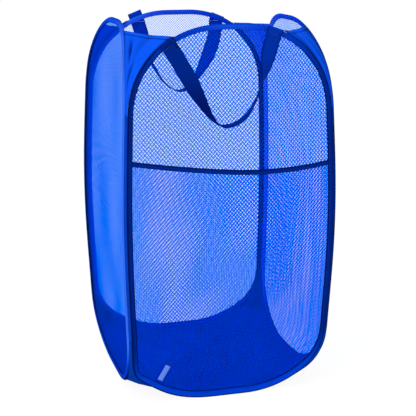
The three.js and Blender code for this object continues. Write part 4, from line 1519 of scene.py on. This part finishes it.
class HAMPER_OT_stage(bpy.types.Operator):
    """Set the white studio floor, the soft lights and the camera"""

    bl_idname = "hamper.stage"
    bl_label = "Stage"

    def execute(self, context):
        scene = context.scene
        scene.view_settings.view_transform = "Standard"
        self.floor(tuple(scene.hamper_colours.backdrop))
        self.world()
        self.lamp("key lamp", (-2.1, -1.5, 2.6), 48.0, 1.6)
        self.lamp("fill lamp", (2.0, -2.4, 1.4), 14.0, 2.2)
        self.camera(scene)
        return {"FINISHED"}

    def floor(self, colour):
        """A wide plane; the camera sees it mostly as plain white with a faint shadow."""
        size = 60.0
        points = np.array([[-size, -size, 0], [size, -size, 0], [size, size, 0], [-size, size, 0]])
        material, nodes, shader = new_material("studio floor")
        matt = {"Base Color": (*colour, 1.0), "Roughness": 0.9, "Specular IOR Level": 0.0}
        nodes.feed(shader, matt)
        glow = nodes.add("ShaderNodeEmission", {"Color": (1, 1, 1, 1), "Strength": 1.06})
        seen = nodes.math("MULTIPLY", self.seen_directly(nodes), 0.87)
        inputs = {0: seen, 1: shader.outputs[0], 2: glow.outputs[0]}
        mixed = nodes.add("ShaderNodeMixShader", inputs)
        nodes.tree.links.new(mixed.outputs[0], nodes.tree.nodes["Material Output"].inputs[0])
        piece = make_piece("studio_floor", points, np.array([[0, 1, 2, 3]]), material)

    def seen_directly(self, nodes):
        path = nodes.add("ShaderNodeLightPath").outputs
        both = nodes.math("MAXIMUM", path["Is Camera Ray"], path["Is Glossy Ray"])
        return nodes.math("MAXIMUM", both, path["Is Transmission Ray"])

    def world(self):
        world = bpy.data.worlds.new("studio")
        world.use_nodes = True
        bpy.context.scene.world = world
        nodes = Nodes(world.node_tree)
        background = world.node_tree.nodes["Background"]
        background.inputs["Color"].default_value = (1, 1, 1, 1)
        strength = nodes.span(self.seen_directly(nodes), 0.0, 1.0, 0.75, 1.0)
        world.node_tree.links.new(strength, background.inputs["Strength"])

    def lamp(self, name, place, power, size):
        data = bpy.data.lights.new(name, "AREA")
        data.energy, data.size = power, size
        lamp = bpy.data.objects.new(name, data)
        lamp.location = place
        lamp.rotation_euler = (Vector((0, 0, 0.3)) - Vector(place)).to_track_quat("-Z", "Y").to_euler()
        bpy.context.scene.collection.objects.link(lamp)

    def camera(self, scene):
        data = bpy.data.cameras.new("camera")
        data.sensor_width, data.lens, data.clip_end = 36.0, 96.29, 200.0
        camera = bpy.data.objects.new("camera", data)
        az, el, far = math.radians(16.026), math.radians(13.838), 1.91309
        aim = Vector((0.009553, 0.0, 0.273947))
        back = Vector((-math.sin(az) * math.cos(el), -math.cos(az) * math.cos(el), math.sin(el)))
        camera.location = aim + back * far
        camera.rotation_euler = (-back).to_track_quat("-Z", "Y").to_euler()
        scene.collection.objects.link(camera)
        scene.camera = camera


OPERATORS = (
    HAMPER_OT_casings,
    HAMPER_OT_wall_nets,
    HAMPER_OT_gussets,
    HAMPER_OT_floor,
    HAMPER_OT_pocket,
    HAMPER_OT_tag,
    HAMPER_OT_handles,
    HAMPER_OT_stage,
)


class HAMPER_PT_build(bpy.types.Panel):
    """Build the hamper piece by piece"""

    bl_idname = "HAMPER_PT_build"
    bl_label = "Laundry hamper"
    bl_space_type = "VIEW_3D"
    bl_region_type = "UI"
    bl_category = "Hamper"

    def draw(self, context):
        for kind in OPERATORS:
            self.layout.operator(kind.bl_idname)
        for name in SETTINGS:
            group = getattr(context.scene, name)
            for size in group.bl_rna.properties.keys():
                if size not in ("rna_type", "name"):
                    self.layout.prop(group, size)


SETTINGS = {
    "hamper_loop": LoopSizes,
    "hamper_casing": CasingSizes,
    "hamper_net": NetSizes,
    "hamper_pocket": PocketSizes,
    "hamper_cloth": ClothSizes,
    "hamper_handle": HandleSizes,
    "hamper_colours": HamperColours,
}


def register():
    for kind in (*SETTINGS.values(), *OPERATORS, HAMPER_PT_build):
        bpy.utils.register_class(kind)
    for name, kind in SETTINGS.items():
        setattr(bpy.types.Scene, name, bpy.props.PointerProperty(type=kind))


def unregister():
    for name in SETTINGS:
        delattr(bpy.types.Scene, name)
    for kind in (HAMPER_PT_build, *reversed(OPERATORS), *reversed(list(SETTINGS.values()))):
        bpy.utils.unregister_class(kind)


def main():
    register()
    for kind in OPERATORS:
        group, name = kind.bl_idname.split(".")
        getattr(getattr(bpy.ops, group), name)()


if __name__ == "__main__":
    main()
